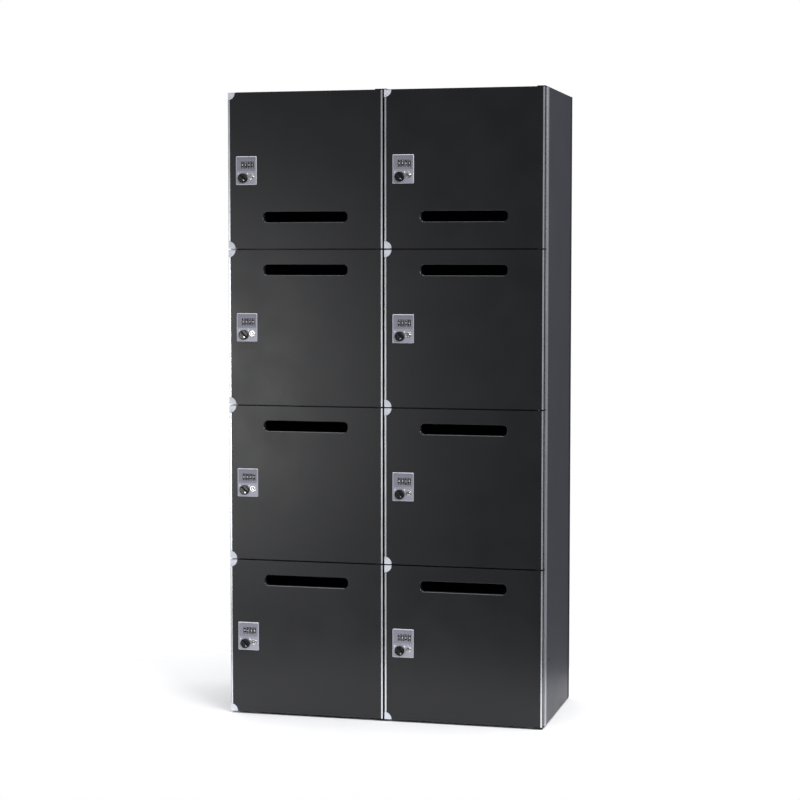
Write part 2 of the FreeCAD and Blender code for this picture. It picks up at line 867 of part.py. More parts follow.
def make_key_plug(column, row):
    """The round barrel that the master key turns, with its keyway."""
    name = f"lock_{column}_{row}_key_plug"
    x, z = lock_place(column, row, key_across, size.key_down)
    y = lock_plate_front - size.key_bezel_proud
    barrel = rod(f"{name}_barrel", "y", (x, y, z), size.key_radius, size.key_length)
    keyway = block(f"{name}_keyway", (x - size.keyway_width / 2, x + size.keyway_width / 2),
                   (y, y + size.keyway_depth),
                   (z - size.keyway_height / 2, z + size.keyway_height / 2))
    return cut(name, barrel, [keyway])


# ---------------------------------------------------------------- the whole cabinet

def make_cabinet():
    """Every named piece, in the order that the cabinet goes together."""
    pieces = [
        make_side_panel("side_panel_left", -1),
        make_side_panel("side_panel_right", 1),
        make_corner_posts(),
        make_centre_partition(),
        make_top_panel(),
        make_bottom_panel(),
        make_shelves(),
        make_back_panel(),
        make_back_panel_screws(),
        make_levelling_feet(),
        make_pivot_brackets(),
        grouped("lock_keepers", [make_keeper(column, row) for column, row in DOORS]),
    ]
    for column, row in DOORS:
        pieces += [make_door(column, row), make_edge_trim(column, row),
                   make_lock_case(column, row), make_dials(column, row),
                   make_knob(column, row), make_key_plug(column, row)]
    return pieces


def check_document(pieces):
    """Stops on a feature that failed, or on a piece with no valid solid."""
    for item in document.Objects:
        if "Invalid" in item.State or "Error" in item.State:
            raise RuntimeError(f"{item.Label} failed: {item.State}")
    for piece in pieces:
        shape = piece.Shape
        if shape.isNull() or not shape.isValid() or not shape.Solids:
            raise RuntimeError(f"{piece.Label} has no valid solid")


cabinet = make_cabinet()
document.recompute()
check_document(cabinet)
os.makedirs("parts", exist_ok=True)
for piece in cabinet:
    piece.Shape.exportStep(f"parts/{piece.Label}.step")
    box = piece.Shape.BoundBox
    print(f"{piece.Label}: {len(piece.Shape.Solids)} solids, {piece.Shape.Volume / 1000:.1f} cm3, "
          f"x {box.XMin:.1f}..{box.XMax:.1f} y {box.YMin:.1f}..{box.YMax:.1f} "
          f"z {box.ZMin:.1f}..{box.ZMax:.1f}")
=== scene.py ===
import json
import math

import bmesh
import bpy
from mathutils import Matrix, Vector

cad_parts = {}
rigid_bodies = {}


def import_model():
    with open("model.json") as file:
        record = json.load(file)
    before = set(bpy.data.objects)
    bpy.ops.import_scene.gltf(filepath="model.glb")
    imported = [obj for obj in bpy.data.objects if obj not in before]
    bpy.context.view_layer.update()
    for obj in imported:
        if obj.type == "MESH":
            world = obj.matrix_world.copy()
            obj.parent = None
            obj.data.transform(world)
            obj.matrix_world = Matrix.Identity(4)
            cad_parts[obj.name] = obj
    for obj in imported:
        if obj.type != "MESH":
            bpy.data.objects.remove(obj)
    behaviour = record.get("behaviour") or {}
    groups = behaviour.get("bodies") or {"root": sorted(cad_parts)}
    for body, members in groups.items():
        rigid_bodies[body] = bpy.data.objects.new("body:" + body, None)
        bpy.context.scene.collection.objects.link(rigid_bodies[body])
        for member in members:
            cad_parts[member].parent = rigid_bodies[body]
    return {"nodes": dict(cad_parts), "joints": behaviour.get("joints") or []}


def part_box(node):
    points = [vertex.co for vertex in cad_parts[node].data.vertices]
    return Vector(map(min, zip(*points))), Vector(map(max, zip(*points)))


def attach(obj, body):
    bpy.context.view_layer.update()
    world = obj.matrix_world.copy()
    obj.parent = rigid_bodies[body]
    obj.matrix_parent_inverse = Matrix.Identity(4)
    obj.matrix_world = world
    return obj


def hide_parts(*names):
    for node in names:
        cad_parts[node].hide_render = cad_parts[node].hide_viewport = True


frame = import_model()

bl_info = {
    "name": "Parcel locker",
    "version": (1, 0, 0),
    "blender": (4, 5, 0),
    "location": "3D View > Sidebar > Parcel locker",
    "description": "Builds the finished parcel locker round its packed frame",
    "category": "Object",
}

# The cabinet stands on Z = 0 and its doors face -Y. All lengths here are in metres.
MM = 0.001
COLUMNS = ("left", "right")
ROWS = (1, 2, 3, 4)
DOORS = [f"{column}_{row}" for column in COLUMNS for row in ROWS]
PATTERN = DOORS[0]
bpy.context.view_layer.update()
JOINTS = {joint["name"]: Vector(joint["pos_m"]) for joint in frame["joints"]}
LEFT, RIGHT = Vector((-1, 0, 0)), Vector((1, 0, 0))
FORWARD, BACKWARD = Vector((0, -1, 0)), Vector((0, 1, 0))
UP = Vector((0, 0, 1))
ACROSS, DEEP, HIGH = 0, 1, 2
FLAT = 0.999  # the least cosine between two directions that count as the same


def linear(code):
    """A colour in linear light from its sRGB hex code."""
    channels = [int(code[at:at + 2], 16) / 255 for at in (1, 3, 5)]
    return tuple(value / 12.92 if value <= 0.04045 else ((value + 0.055) / 1.055) ** 2.4
                 for value in channels) + (1.0,)


def colour_property(name, description, code):
    return bpy.props.FloatVectorProperty(name=name, description=description, size=4,
                                         subtype="COLOR", min=0, max=1, default=linear(code))


def length_property(name, description, default):
    return bpy.props.FloatProperty(name=name, description=description, default=default,
                                   min=0, unit="LENGTH", precision=5)


def light_property(name, description, default, unit="POWER"):
    return bpy.props.FloatProperty(name=name, description=description, default=default,
                                   min=0, unit=unit)


class CabinetSettings(bpy.types.PropertyGroup):
    """Edges and colours of the boards and their trim."""

    board_edge: length_property(
        "Board edge", "Rounding of the edge bands of every board", 0.5 * MM)
    trim_edge: length_property(
        "Trim edge", "Rounding of the ends of the aluminium profiles", 0.25 * MM)
    steel_edge: length_property(
        "Steel edge", "Rounding of pressed steel plates", 0.2 * MM)
    corner_rim: length_property(
        "Corner rim", "Width of the raised rim of a corner piece", 1.5 * MM)
    door_colour: colour_property(
        "Doors", "Colour of the doors' laminate", "#101114")
    carcass_colour: colour_property(
        "Carcass", "Colour of the carcass's laminate", "#3f4048")
    trim_colour: colour_property(
        "Profiles", "Colour of the anodised profiles", "#dfe1e7")
    corner_colour: colour_property(
        "Corner pieces", "Colour of the corner pieces", "#dcdfe8")


class LockSettings(bpy.types.PropertyGroup):
    """Details of the combination locks."""

    plate_corner: length_property(
        "Plate corner", "Radius of the lock plate's corners", 2.6 * MM)
    plate_rim: length_property(
        "Plate rim", "Rounding of the lock plate's front edge", 1.9 * MM)
    field_depth: length_property(
        "Field depth", "Depth of the sunk field round the dials", 1.2 * MM)
    number_height: length_property(
        "Number height", "Type size of the numbers on the dials", 7.6 * MM)
    plate_colour: colour_property(
        "Plate", "Colour of the lacquered lock plate", "#a6a7b3")
    knob_colour: colour_property(
        "Knob", "Colour of the turning knob", "#0d0d10")
    dial_colour: colour_property(
        "Dials", "Colour of the number wheels", "#131316")


class StudioSettings(bpy.types.PropertyGroup):
    """Light and view."""

    floor_radius: length_property(
        "Floor radius", "Radius of the round floor that the cabinet stands on", 0.95)
    overhead_strength: light_property(
        "Overhead light", "Strength of the light from above", 3.4, unit="NONE")
    front_power: light_property(
        "Front light", "Power of the high soft box in front", 130)
    sheen_power: light_property(
        "Sheen light", "Power of the soft box that the left doors mirror", 23)
    edge_power: light_property(
        "Edge light", "Power of the tall soft strip that the left edges mirror", 3.2)
    side_power: light_property(
        "Side light", "Power of the soft box at the right side", 36)
    focal_length: bpy.props.FloatProperty(
        name="Focal length", description="Lens of the camera, in millimetres", default=92.385,
        min=1)


# ---------------------------------------------------------------- modelling by hand

def deselect_all():
    bpy.ops.object.select_all(action="DESELECT")


def pick(*objects):
    """Makes these the only selected objects, and the first of them active."""
    deselect_all()
    for obj in objects:
        obj.select_set(True)
    bpy.context.view_layer.objects.active = objects[0]


def settle(name):
    """Names the object just added and puts its place into its mesh."""
    obj = bpy.context.object
    obj.name = name
    obj.data.name = name
    pick(obj)
    bpy.ops.object.transform_apply(location=True, rotation=True, scale=True)
    return obj


def add_block(name, low, high):
    """A block between two corners."""
    deselect_all()
    low, high = Vector(low), Vector(high)
    bpy.ops.mesh.primitive_cube_add(size=1, location=(low + high) / 2, scale=high - low)
    return settle(name)


ROD_TURNS = ((0, math.pi / 2, 0), (math.pi / 2, 0, 0), (0, 0, 0))


def add_rod(name, axis, start, length, radius, sides=32):
    """A rod that runs from start along an axis."""
    deselect_all()
    middle = Vector(start)
    middle[axis] += length / 2
    bpy.ops.mesh.primitive_cylinder_add(vertices=sides, radius=radius, depth=abs(length),
                                        location=middle, rotation=ROD_TURNS[axis])
    return settle(name)


def edit_faces(obj, rule):
    """Opens a mesh in edit mode with only the faces that the rule takes selected."""
    open_mesh(obj, "FACE", lambda mesh: mesh.faces, rule)


def edit_edges(obj, rule):
    """Opens a mesh in edit mode with only the edges that the rule takes selected."""
    open_mesh(obj, "EDGE", lambda mesh: mesh.edges, rule)


def open_mesh(obj, kind, parts, rule):
    pick(obj)
    bpy.ops.object.mode_set(mode="EDIT")
    bpy.ops.mesh.select_mode(type=kind)
    bpy.ops.mesh.select_all(action="DESELECT")
    mesh = bmesh.from_edit_mesh(obj.data)
    for part in parts(mesh):
        if rule(part):
            part.select_set(True)
    bmesh.update_edit_mesh(obj.data)


def close_mesh():
    bpy.ops.object.mode_set(mode="OBJECT")


def faces(direction):
    """A rule for the faces that look in a direction."""
    return lambda face: face.normal.dot(direction) > FLAT


def middle_of(edge):
    return (edge.verts[0].co + edge.verts[1].co) / 2


def runs_along(edge, axis):
    line = (edge.verts[1].co - edge.verts[0].co).normalized()
    return abs(line[axis]) > FLAT


def borders(edge, direction):
    """True for an edge between a face that looks in a direction and one that doesn't."""
    looks = [face.normal.dot(direction) > FLAT for face in edge.link_faces]
    return any(looks) and not all(looks)


def bevel_edges(obj, rule, width, segments=3):
    edit_edges(obj, rule)
    bpy.ops.mesh.bevel(offset=width, segments=segments, affect="EDGES")
    close_mesh()


def round_rim(obj, direction, width, segments=3):
    """Rounds the edges of the faces that look in a direction."""
    bevel_edges(obj, lambda edge: borders(edge, direction), width, segments)


def round_along(obj, axis, width, segments=3):
    """Rounds the edges that run along an axis."""
    bevel_edges(obj, lambda edge: runs_along(edge, axis), width, segments)


def inset_faces(obj, direction, thickness, depth=0.0):
    """Insets the faces that look in a direction, and raises or sinks what is inside."""
    edit_faces(obj, faces(direction))
    bpy.ops.mesh.inset(thickness=thickness, depth=depth)
    close_mesh()


def volume_of(obj):
    mesh = bmesh.new()
    mesh.from_mesh(obj.data)
    volume = mesh.calc_volume(signed=True)
    mesh.free()
    return volume


def combine(obj, tool, operation="DIFFERENCE"):
    """Cuts a tool out of a piece, or adds it, and takes the tool away.

    A failed cut can leave an empty mesh without a word, so the volumes are compared.
    """
    before, other = volume_of(obj), volume_of(tool)
    modifier = obj.modifiers.new("combine", "BOOLEAN")
    modifier.operation = operation
    modifier.solver = "EXACT"
    modifier.object = tool
    pick(obj)
    bpy.ops.object.modifier_apply(modifier=modifier.name)
    after = volume_of(obj)
    slack = 1.01
    if operation == "DIFFERENCE":
        sound = before - other * slack <= after <= before
    else:
        sound = max(before, other) <= after <= (before + other) * slack
    if not sound:
        raise RuntimeError(f"{obj.name}: cutting or adding {tool.name} failed")
    bpy.data.objects.remove(tool, do_unlink=True)


def join(name, objects):
    """Several closed shells in one object."""
    pick(*objects)
    bpy.ops.object.join()
    obj = bpy.context.object
    obj.name = name
    obj.data.name = name
    return obj


def soften(obj, width, segments=2, angle=35):
    """Rounds the sharp edges a little and shades the piece smooth between them."""
    pick(obj)
    if width:
        modifier = obj.modifiers.new("soften", "BEVEL")
        modifier.width = width
        modifier.segments = segments
        modifier.limit_method = "ANGLE"
        modifier.angle_limit = math.radians(angle)
        bpy.ops.object.modifier_apply(modifier=modifier.name)
    bpy.ops.object.shade_smooth_by_angle(angle=math.radians(angle))
    modifier = obj.modifiers.new("even", "WEIGHTED_NORMAL")
    modifier.keep_sharp = True
    bpy.ops.object.modifier_apply(modifier=modifier.name)
    return obj


def copy_to(obj, name, shift):
    """A copy with its own mesh, moved by a shift."""
    twin = bpy.data.objects.new(name, obj.data.copy())
    twin.data.name = name
    bpy.context.scene.collection.objects.link(twin)
    pick(twin)
    twin.location = shift
    bpy.ops.object.transform_apply(location=True, rotation=False, scale=False)
    return twin


def turned(obj, centre, turn, axis):
    """Turns a piece about an axis through a point."""
    pivot = Matrix.Translation(centre)
    obj.matrix_world = pivot @ Matrix.Rotation(turn, 4, axis) @ pivot.inverted()
    pick(obj)
    bpy.ops.object.transform_apply(location=True, rotation=True, scale=False)
    return obj


def traced(node, name):
    """A piece of its own that starts as a merged copy of a CAD node's mesh."""
    obj = bpy.data.objects.new(name, frame["nodes"][node].data.copy())
    obj.data.name = name
    obj.data.materials.clear()
    bpy.context.scene.collection.objects.link(obj)
    pick(obj)
    bpy.ops.mesh.customdata_custom_splitnormals_clear()
    bpy.ops.object.mode_set(mode="EDIT")
    bpy.ops.mesh.select_all(action="SELECT")
    bpy.ops.mesh.remove_doubles(threshold=0.002 * MM)
    bpy.ops.mesh.dissolve_limited(angle_limit=math.radians(0.5))
    close_mesh()
    return obj


def dress(obj, materials, choose=None):
    """Gives a piece its materials; choose names the one for a face, by its place and normal."""
    obj.data.materials.clear()
    for material in materials:
        obj.data.materials.append(material)
    for face in obj.data.polygons:
        face.material_index = choose(face.center, face.normal) if choose else 0
    return obj


def lock_spot(door, joint):
    """The place of a joint of a door or of its lock."""
    return JOINTS[f"{door}_{joint}"].copy()


def finish_piece(obj, body, slot, *nodes):
    """Rides a finished piece on its body and hides the CAD nodes that it stands for."""
    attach(obj, body)
    if nodes:
        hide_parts(*nodes)


def refinish(node, suffix, materials, body, slot, edge, segments=2, choose=None):
    """Stands a copy of a CAD node, with soft edges and its own materials, for the node."""
    piece = soften(traced(node, f"{node}_{suffix}"), edge, segments)
    dress(piece, materials, choose)
    finish_piece(piece, body, slot, node)


def hand_out(node, body, parts, replaced=True, before=None):
    """Gives every door its copies of the first door's pieces, and takes those pieces away.

    node and body hold {} in the place of the door's name. parts gives, under each copy's
    name, the piece and its material slot; the slot is not used. before is called with each door's
    node first.
    """
    first = node.format(PATTERN)
    for door in DOORS:
        target = node.format(door)
        if before:
            before(target, body.format(door))
        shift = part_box(target)[0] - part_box(first)[0]
        for name, (piece, slot) in parts.items():
            twin = copy_to(piece, name.format(door), shift)
            finish_piece(twin, body.format(door), slot, *([target] if replaced else []))
    for piece, _ in parts.values():
        bpy.data.objects.remove(piece, do_unlink=True)


# ---------------------------------------------------------------- materials

def add_node(tree, kind, inputs=None, **settings):
    """Adds a node, with its settings, its sockets' values and the links into it."""
    node = tree.nodes.new(kind)
    for name, value in settings.items():
        setattr(node, name, value)
    for socket, value in (inputs or {}).items():
        if isinstance(value, bpy.types.NodeSocket):
            tree.links.new(value, node.inputs[socket])
        else:
            node.inputs[socket].default_value = value
    return node


MIX_FACTOR, MIX_A, MIX_B, MIX_RESULT = 0, 6, 7, 2


def cells_of(millimetres):
    """The scale at which a texture's cells measure so many millimetres."""
    return 1 / (millimetres * MM)


def shaded(code, factor):
    """A linear colour made lighter or darker."""
    return tuple(min(1.0, channel * factor) for channel in code[:3]) + (1.0,)


def surface(name, colour, spread, grain, cloud, stretch=(1, 1, 1), bump=0.1, height=0.05,
            roughness=(0.3, 0.4), **sockets):
    """A finish with clouds of colour, a grain that varies the gloss, and the same grain as relief.

    grain and cloud are the sizes of their cells in millimetres, stretch lengthens the grain
    along an axis, and height is the grain's depth in millimetres.
    """
    material = bpy.data.materials.get(name)
    if material:
        return material
    material = bpy.data.materials.new(name)
    material.use_nodes = True
    material.diffuse_color = colour
    tree = material.node_tree
    shader = tree.nodes["Principled BSDF"]
    for socket, value in sockets.items():
        shader.inputs[socket.replace("_", " ")].default_value = value
    place = add_node(tree, "ShaderNodeTexCoord").outputs["Object"]
    lengthened = add_node(tree, "ShaderNodeMapping", {"Vector": place, "Scale": stretch})
    fine = add_node(tree, "ShaderNodeTexNoise", {
        "Vector": lengthened.outputs["Vector"], "Scale": cells_of(grain), "Detail": 3.0,
        "Roughness": 0.6})
    broad = add_node(tree, "ShaderNodeTexNoise", {
        "Vector": place, "Scale": cells_of(cloud), "Detail": 2.0, "Roughness": 0.5})
    both = add_node(tree, "ShaderNodeMath", {
        0: fine.outputs["Fac"], 1: broad.outputs["Fac"]}, operation="ADD")
    factor = add_node(tree, "ShaderNodeMapRange", {
        "Value": both.outputs[0], "From Min": 0.7, "From Max": 1.3})
    tint = add_node(tree, "ShaderNodeMix", {
        MIX_FACTOR: factor.outputs[0], MIX_A: shaded(colour, 1 - spread),
        MIX_B: shaded(colour, 1 + spread)}, data_type="RGBA")
    gloss = add_node(tree, "ShaderNodeMapRange", {
        "Value": both.outputs[0], "From Min": 0.7, "From Max": 1.3,
        "To Min": roughness[0], "To Max": roughness[1]})
    relief = add_node(tree, "ShaderNodeBump", {
        "Height": fine.outputs["Fac"], "Strength": bump, "Distance": height * MM})
    tree.links.new(tint.outputs[MIX_RESULT], shader.inputs["Base Color"])
    tree.links.new(gloss.outputs[0], shader.inputs["Roughness"])
    tree.links.new(relief.outputs["Normal"], shader.inputs["Normal"])
    return material


def door_laminate():
    """Melamine laminate, pressed against a satin plate: near black, with a soft broad sheen.

    Its pressed grain is about 0.3 mm and is drawn at 1.4 mm so that it shows.
    """
    return surface("melamine_laminate_pressed_satin", cabinet().door_colour, 0.1, 1.4, 110,
                   bump=0.25, height=0.06, roughness=(0.31, 0.38))


def carcass_laminate():
    """Melamine laminate pressed with a pearl grain: a little lighter and duller than the doors."""
    return surface("melamine_laminate_pressed_pearl", cabinet().carcass_colour, 0.12, 1.8, 140,
                   bump=0.35, height=0.08, roughness=(0.42, 0.52))


def matt_laminate():
    """The same laminate with a matt grain, for boards that lie flat: next to no gloss."""
    return surface("melamine_laminate_pressed_matt", cabinet().carcass_colour, 0.12, 1.8, 140,
                   bump=0.35, height=0.08, roughness=(0.68, 0.78), Specular_IOR_Level=0.12)


def edge_band():
    """ABS edge band, extruded and buffed: smoother than the laminate, with faint long streaks."""
    return surface("abs_edge_band_extruded", linear("#1c1d20"), 0.15, 0.8, 60,
                   stretch=(1, 1, 0.05), bump=0.15, height=0.03, roughness=(0.28, 0.4))


def routed_edge():
    """The routed edge of the letter slot, sealed with lacquer: smooth and glossier."""
    return surface("mdf_edge_routed_lacquered", linear("#2a2b30"), 0.15, 1.0, 20,
                   bump=0.2, height=0.03, roughness=(0.16, 0.26))


def hardboard():
    """Lacquered hardboard: fibres pressed flat, dull, with a cloudy surface."""
    return surface("hardboard_pressed_lacquered", linear("#28292c"), 0.25, 2.5, 70,
                   bump=0.4, height=0.1, roughness=(0.5, 0.68))


def front_post_finish():
    """Aluminium post, drawn, in a dark silver anodise: brighter than the panel behind it."""
    return surface("aluminium_drawn_dark_anodised", linear("#b4b4be"), 0.06, 0.5, 80,
                   stretch=(1, 1, 0.01), bump=0.2, height=0.02, roughness=(0.3, 0.42),
                   Metallic=0.4)


def rear_post_finish():
    """Steel post, powder coated black: a fine even orange peel."""
    return surface("steel_powder_coated_black", linear("#1b1c1f"), 0.1, 1.6, 50,
                   bump=0.5, height=0.06, roughness=(0.4, 0.5))


def profile_finish():
    """Aluminium, drawn and satin anodised: fine lines along its length, 0.2 mm apart on the
    real one and drawn at 0.5 mm, that spread its reflections."""
    return surface("aluminium_drawn_satin_anodised", cabinet().trim_colour, 0.05, 0.5, 90,
                   stretch=(1, 1, 0.01), bump=0.12, height=0.01, roughness=(0.24, 0.32),
                   Metallic=0.8)


def profile_side_finish():
    """The same profile's sides and back, painted near black: painted shade for the gaps that they
    sit in, with a dull gleam.
    """
    return surface("aluminium_drawn_black_anodised", linear("#141417"), 0.1, 0.5, 90,
                   stretch=(1, 1, 0.01), bump=0.12, height=0.01, roughness=(0.32, 0.42))


def corner_finish():
    """Zinc die casting under silver lacquer: pale, even, with a fine metallic fleck."""
    return surface("zinc_die_cast_silver_lacquered", cabinet().corner_colour, 0.06, 0.6, 12,
                   bump=0.12, height=0.02, roughness=(0.34, 0.46), Metallic=0.1)


def plate_finish():
    """Zinc die casting under satin silver lacquer, cooler and darker than the corner pieces."""
    return surface("zinc_die_cast_satin_lacquered", lock().plate_colour, 0.07, 0.5, 14,
                   bump=0.15, height=0.02, roughness=(0.36, 0.48), Metallic=0.35)


def field_finish():
    """The sunk field's floor: a darker, duller silver than the rest of the plate."""
    return surface("zinc_die_cast_lacquered_field", linear("#8d8e9a"), 0.08, 0.5, 14,
                   bump=0.2, height=0.02, roughness=(0.42, 0.54), Metallic=0.35)


def rim_finish():
    """The casting's edges, painted lighter and smoother than the plate: a painted highlight where
    the rim catches the light.
    """
    return surface("zinc_die_cast_linished_edge", linear("#cfd0da"), 0.05, 0.4, 8,
                   bump=0.08, height=0.01, roughness=(0.26, 0.36), Metallic=0.45)


def lock_body_finish():
    """Glass-filled nylon, moulded: black, slightly mottled where the glass shows."""
    return surface("nylon_glass_filled_moulded", linear("#16161a"), 0.2, 0.7, 10,
                   bump=0.3, height=0.03, roughness=(0.42, 0.58))


def dial_finish():
    """Acetal wheel, moulded: black with a soft gloss."""
    return surface("acetal_moulded_black", lock().dial_colour, 0.12, 0.5, 6,
                   bump=0.12, height=0.02, roughness=(0.28, 0.38))


def number_finish():
    """White ink, pad printed: opaque and dull, a little uneven."""
    return surface("ink_pad_printed_white", linear("#f4f4f6"), 0.03, 0.4, 3,
                   bump=0.1, height=0.01, roughness=(0.4, 0.55))


def knob_finish():
    """ABS, moulded and polished: deep black, with clear highlights."""
    return surface("abs_moulded_polished", lock().knob_colour, 0.1, 0.9, 8,
                   bump=0.06, height=0.01, roughness=(0.2, 0.28))


def plug_finish():
    """Brass, turned and nickel plated: a bright, slightly warm mirror with turning marks."""
    return surface("brass_turned_nickel_plated", linear("#e2e1df"), 0.03, 0.3, 6,
                   bump=0.02, height=0.01, roughness=(0.18, 0.24), Metallic=1.0)


def keyway_finish():
    """Brass inside the keyway, painted dark: painted shade deep in the slot."""
    return surface("brass_broached_greasy", linear("#2c2822"), 0.2, 0.4, 3,
                   bump=0.1, height=0.01, roughness=(0.4, 0.6), Metallic=0.6)


def plate_steel():
    """Sheet steel, zinc plated: grey with faint blue clouds."""
    return surface("steel_rolled_zinc_plated", linear("#9a9da3"), 0.12, 0.6, 18,
                   stretch=(0.1, 1, 1), bump=0.15, height=0.01, roughness=(0.26, 0.4),
                   Metallic=1.0)


def dark_plate_steel():
    """Sheet steel painted nearly as dark as the seam that it sits in: painted shade, dull."""
    return surface("steel_rolled_black_oxide", linear("#1d1e21"), 0.15, 0.6, 14,
                   stretch=(0.1, 1, 1), bump=0.15, height=0.01, roughness=(0.4, 0.55),
                   Metallic=0.6)


def screw_steel():
    """Steel, cold headed and zinc plated."""
    return surface("steel_cold_headed_zinc_plated", linear("#8f9298"), 0.12, 0.4, 5,
                   bump=0.1, height=0.01, roughness=(0.24, 0.38), Metallic=1.0)


def foot_plastic():
    """Polypropylene foot, moulded: dull black, scuffed at its rim."""
    return surface("polypropylene_moulded_black", linear("#17171a"), 0.2, 1.2, 15,
                   bump=0.25, height=0.04, roughness=(0.45, 0.62))


def buffer_rubber():
    """Soft clear-grey rubber buffer, moulded."""
    return surface("elastomer_moulded_grey", linear("#5c5d60"), 0.08, 0.8, 6,
                   bump=0.15, height=0.02, roughness=(0.35, 0.5))


def floor_paint():
    """Studio floor under matt white paint, rolled on."""
    return surface("paint_rolled_matt_white", linear("#f2f2f3"), 0.01, 6, 400,
                   bump=0.05, height=0.1, roughness=(0.7, 0.8))


def cabinet():
    return bpy.context.scene.locker_cabinet


def lock():
    return bpy.context.scene.locker_lock


def studio():
    return bpy.context.scene.locker_studio


# ---------------------------------------------------------------- carcass

class LOCKER_OT_boards(bpy.types.Operator):
    """Lays laminate and edge bands on the side panels, the partition, the top, the bottom and
    the shelves"""

    bl_idname = "locker.boards"
    bl_label = "Boards"

    BOARDS = {
        "side_panel_left": ACROSS,
        "side_panel_right": ACROSS,
        "centre_partition": ACROSS,
        "top_panel": HIGH,
        "bottom_panel": HIGH,
        "shelves": HIGH,
    }

    def execute(self, context):
        edge = cabinet().board_edge
        for node, thin in self.BOARDS.items():
            laminate = matt_laminate() if thin == HIGH else carcass_laminate()
            refinish(node, "faced", [laminate, edge_band()], "cabinet", "board", edge,
                     choose=lambda place, normal: int(abs(normal[thin]) < 0.5))
        refinish("back_panel", "faced", [hardboard()], "cabinet", "board", edge)
        return {"FINISHED"}


class LOCKER_OT_posts(bpy.types.Operator):
    """Stands the aluminium posts at the front corners and the coated ones at the back"""

    bl_idname = "locker.posts"
    bl_label = "Corner posts"

    EDGE = 0.8 * MM

    def execute(self, context):
        low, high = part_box("corner_posts")
        middle = (low.y + high.y) / 2
        refinish("corner_posts", "finished", [front_post_finish(), rear_post_finish()],
                 "cabinet", "board", self.EDGE, segments=3,
                 choose=lambda place, normal: int(place.y > middle))
        return {"FINISHED"}


class LOCKER_OT_back_screws(bpy.types.Operator):
    """Drives the screws that hold the back panel: domed heads with a cross recess"""

    bl_idname = "locker.back_screws"
    bl_label = "Back panel screws"

    RADIUS, HEIGHT, DOME = 4 * MM, 1.5 * MM, 1.1 * MM
    RECESS_HALF, RECESS_REACH, RECESS_DEPTH = 0.45 * MM, 2.1 * MM, 0.9 * MM

    def execute(self, context):
        node = "back_panel_screws"
        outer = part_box(node)[1].y
        places = self.head_places(node, outer)
        head = self.make_head(places[0], outer)
        heads = [head] + [copy_to(head, f"{node}_head_{number}", place - places[0])
                          for number, place in enumerate(places[1:], 1)]
        screws = join(f"{node}_driven", heads)
        dress(screws, [screw_steel()])
        finish_piece(screws, "cabinet", "screw_steel", node)
        return {"FINISHED"}

    def head_places(self, node, outer):
        """The middle of each screw head, from the CAD node's own faces."""
        mesh = frame["nodes"][node].data
        corners = [vertex.co for vertex in mesh.vertices if outer - vertex.co.y < 0.05 * MM]
        places = []
        for corner in corners:
            near = [group for group in places if (group[0] - corner).length < self.RADIUS * 2.5]
            if near:
                near[0].append(corner)
            else:
                places.append([corner])
        middles = []
        for group in places:
            axes = [[corner[axis] for corner in group] for axis in range(3)]
            middles.append(Vector([(min(line) + max(line)) / 2 for line in axes]))
        return middles

    def make_head(self, place, outer):
        start = (place.x, outer - self.HEIGHT, place.z)
        head = add_rod("back_panel_screws_head", DEEP, start, self.HEIGHT, self.RADIUS, sides=16)
        round_rim(head, BACKWARD, self.DOME, segments=2)
        half, reach = self.RECESS_HALF, self.RECESS_REACH
        for wide, tall in ((reach, half), (half, reach)):
            recess = add_block("recess",
                               (place.x - wide, outer - self.RECESS_DEPTH, place.z - tall),
                               (place.x + wide, outer + MM, place.z + tall))
            combine(head, recess)
        return soften(head, 0)


class LOCKER_OT_feet(bpy.types.Operator):
    """Sets the levelling feet under the cabinet: moulded pads with a rounded rim"""

    bl_idname = "locker.feet"
    bl_label = "Levelling feet"

    EDGE = 1 * MM

    def execute(self, context):
        refinish("levelling_feet", "moulded", [foot_plastic()], "cabinet", "foot_plastic",
                 self.EDGE, segments=3)
        return {"FINISHED"}


class LOCKER_OT_brackets(bpy.types.Operator):
    """Fits the pivot plates with their pins and the lock keepers"""

    bl_idname = "locker.brackets"
    bl_label = "Pivot plates and keepers"

    PIN_RADIUS = 3 * MM

    def execute(self, context):
        edge = cabinet().steel_edge
        refinish("lock_keepers", "pressed", [plate_steel()], "cabinet", "bracket_steel", edge)
        pivots = [lock_spot(door, "door_hinge") for door in DOORS]

        def is_pin(place, normal):
            gaps = [math.hypot(place.x - pivot.x, place.y - pivot.y) for pivot in pivots]
            return int(min(gaps) < self.PIN_RADIUS + 0.1 * MM and abs(normal.z) < FLAT)

        # the pivot plates are painted dark as painted shade of the seam; only the pins keep the
        # bright zinc
        plates = soften(traced("pivot_brackets", "pivot_plates_pressed"), edge)
        dress(plates, [dark_plate_steel(), plate_steel()], is_pin)
        finish_piece(plates, "cabinet", "bracket_steel", "pivot_brackets")
        return {"FINISHED"}


# ---------------------------------------------------------------- doors

class LOCKER_OT_doors(bpy.types.Operator):
    """Faces the eight door boards and seals the rims of their letter slots"""

    bl_idname = "locker.doors"
    bl_label = "Doors"

    EDGE_BAND = 4 * MM  # what lies further in than this is the slot's rim

    def execute(self, context):
        finishes = [door_laminate(), edge_band(), routed_edge()]
        for door in DOORS:
            node = f"door_{door}"
            low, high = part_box(node)
            inner = self.EDGE_BAND

            def finish_of(place, normal):
                if abs(normal.y) > FLAT:
                    return 0
                inside = (low.x + inner < place.x < high.x - inner
                          and low.z + inner < place.z < high.z - inner)
                return 2 if inside else 1

            refinish(node, "faced", finishes, f"{door}_door", "door_board", cabinet().board_edge,
                     choose=finish_of)
        return {"FINISHED"}


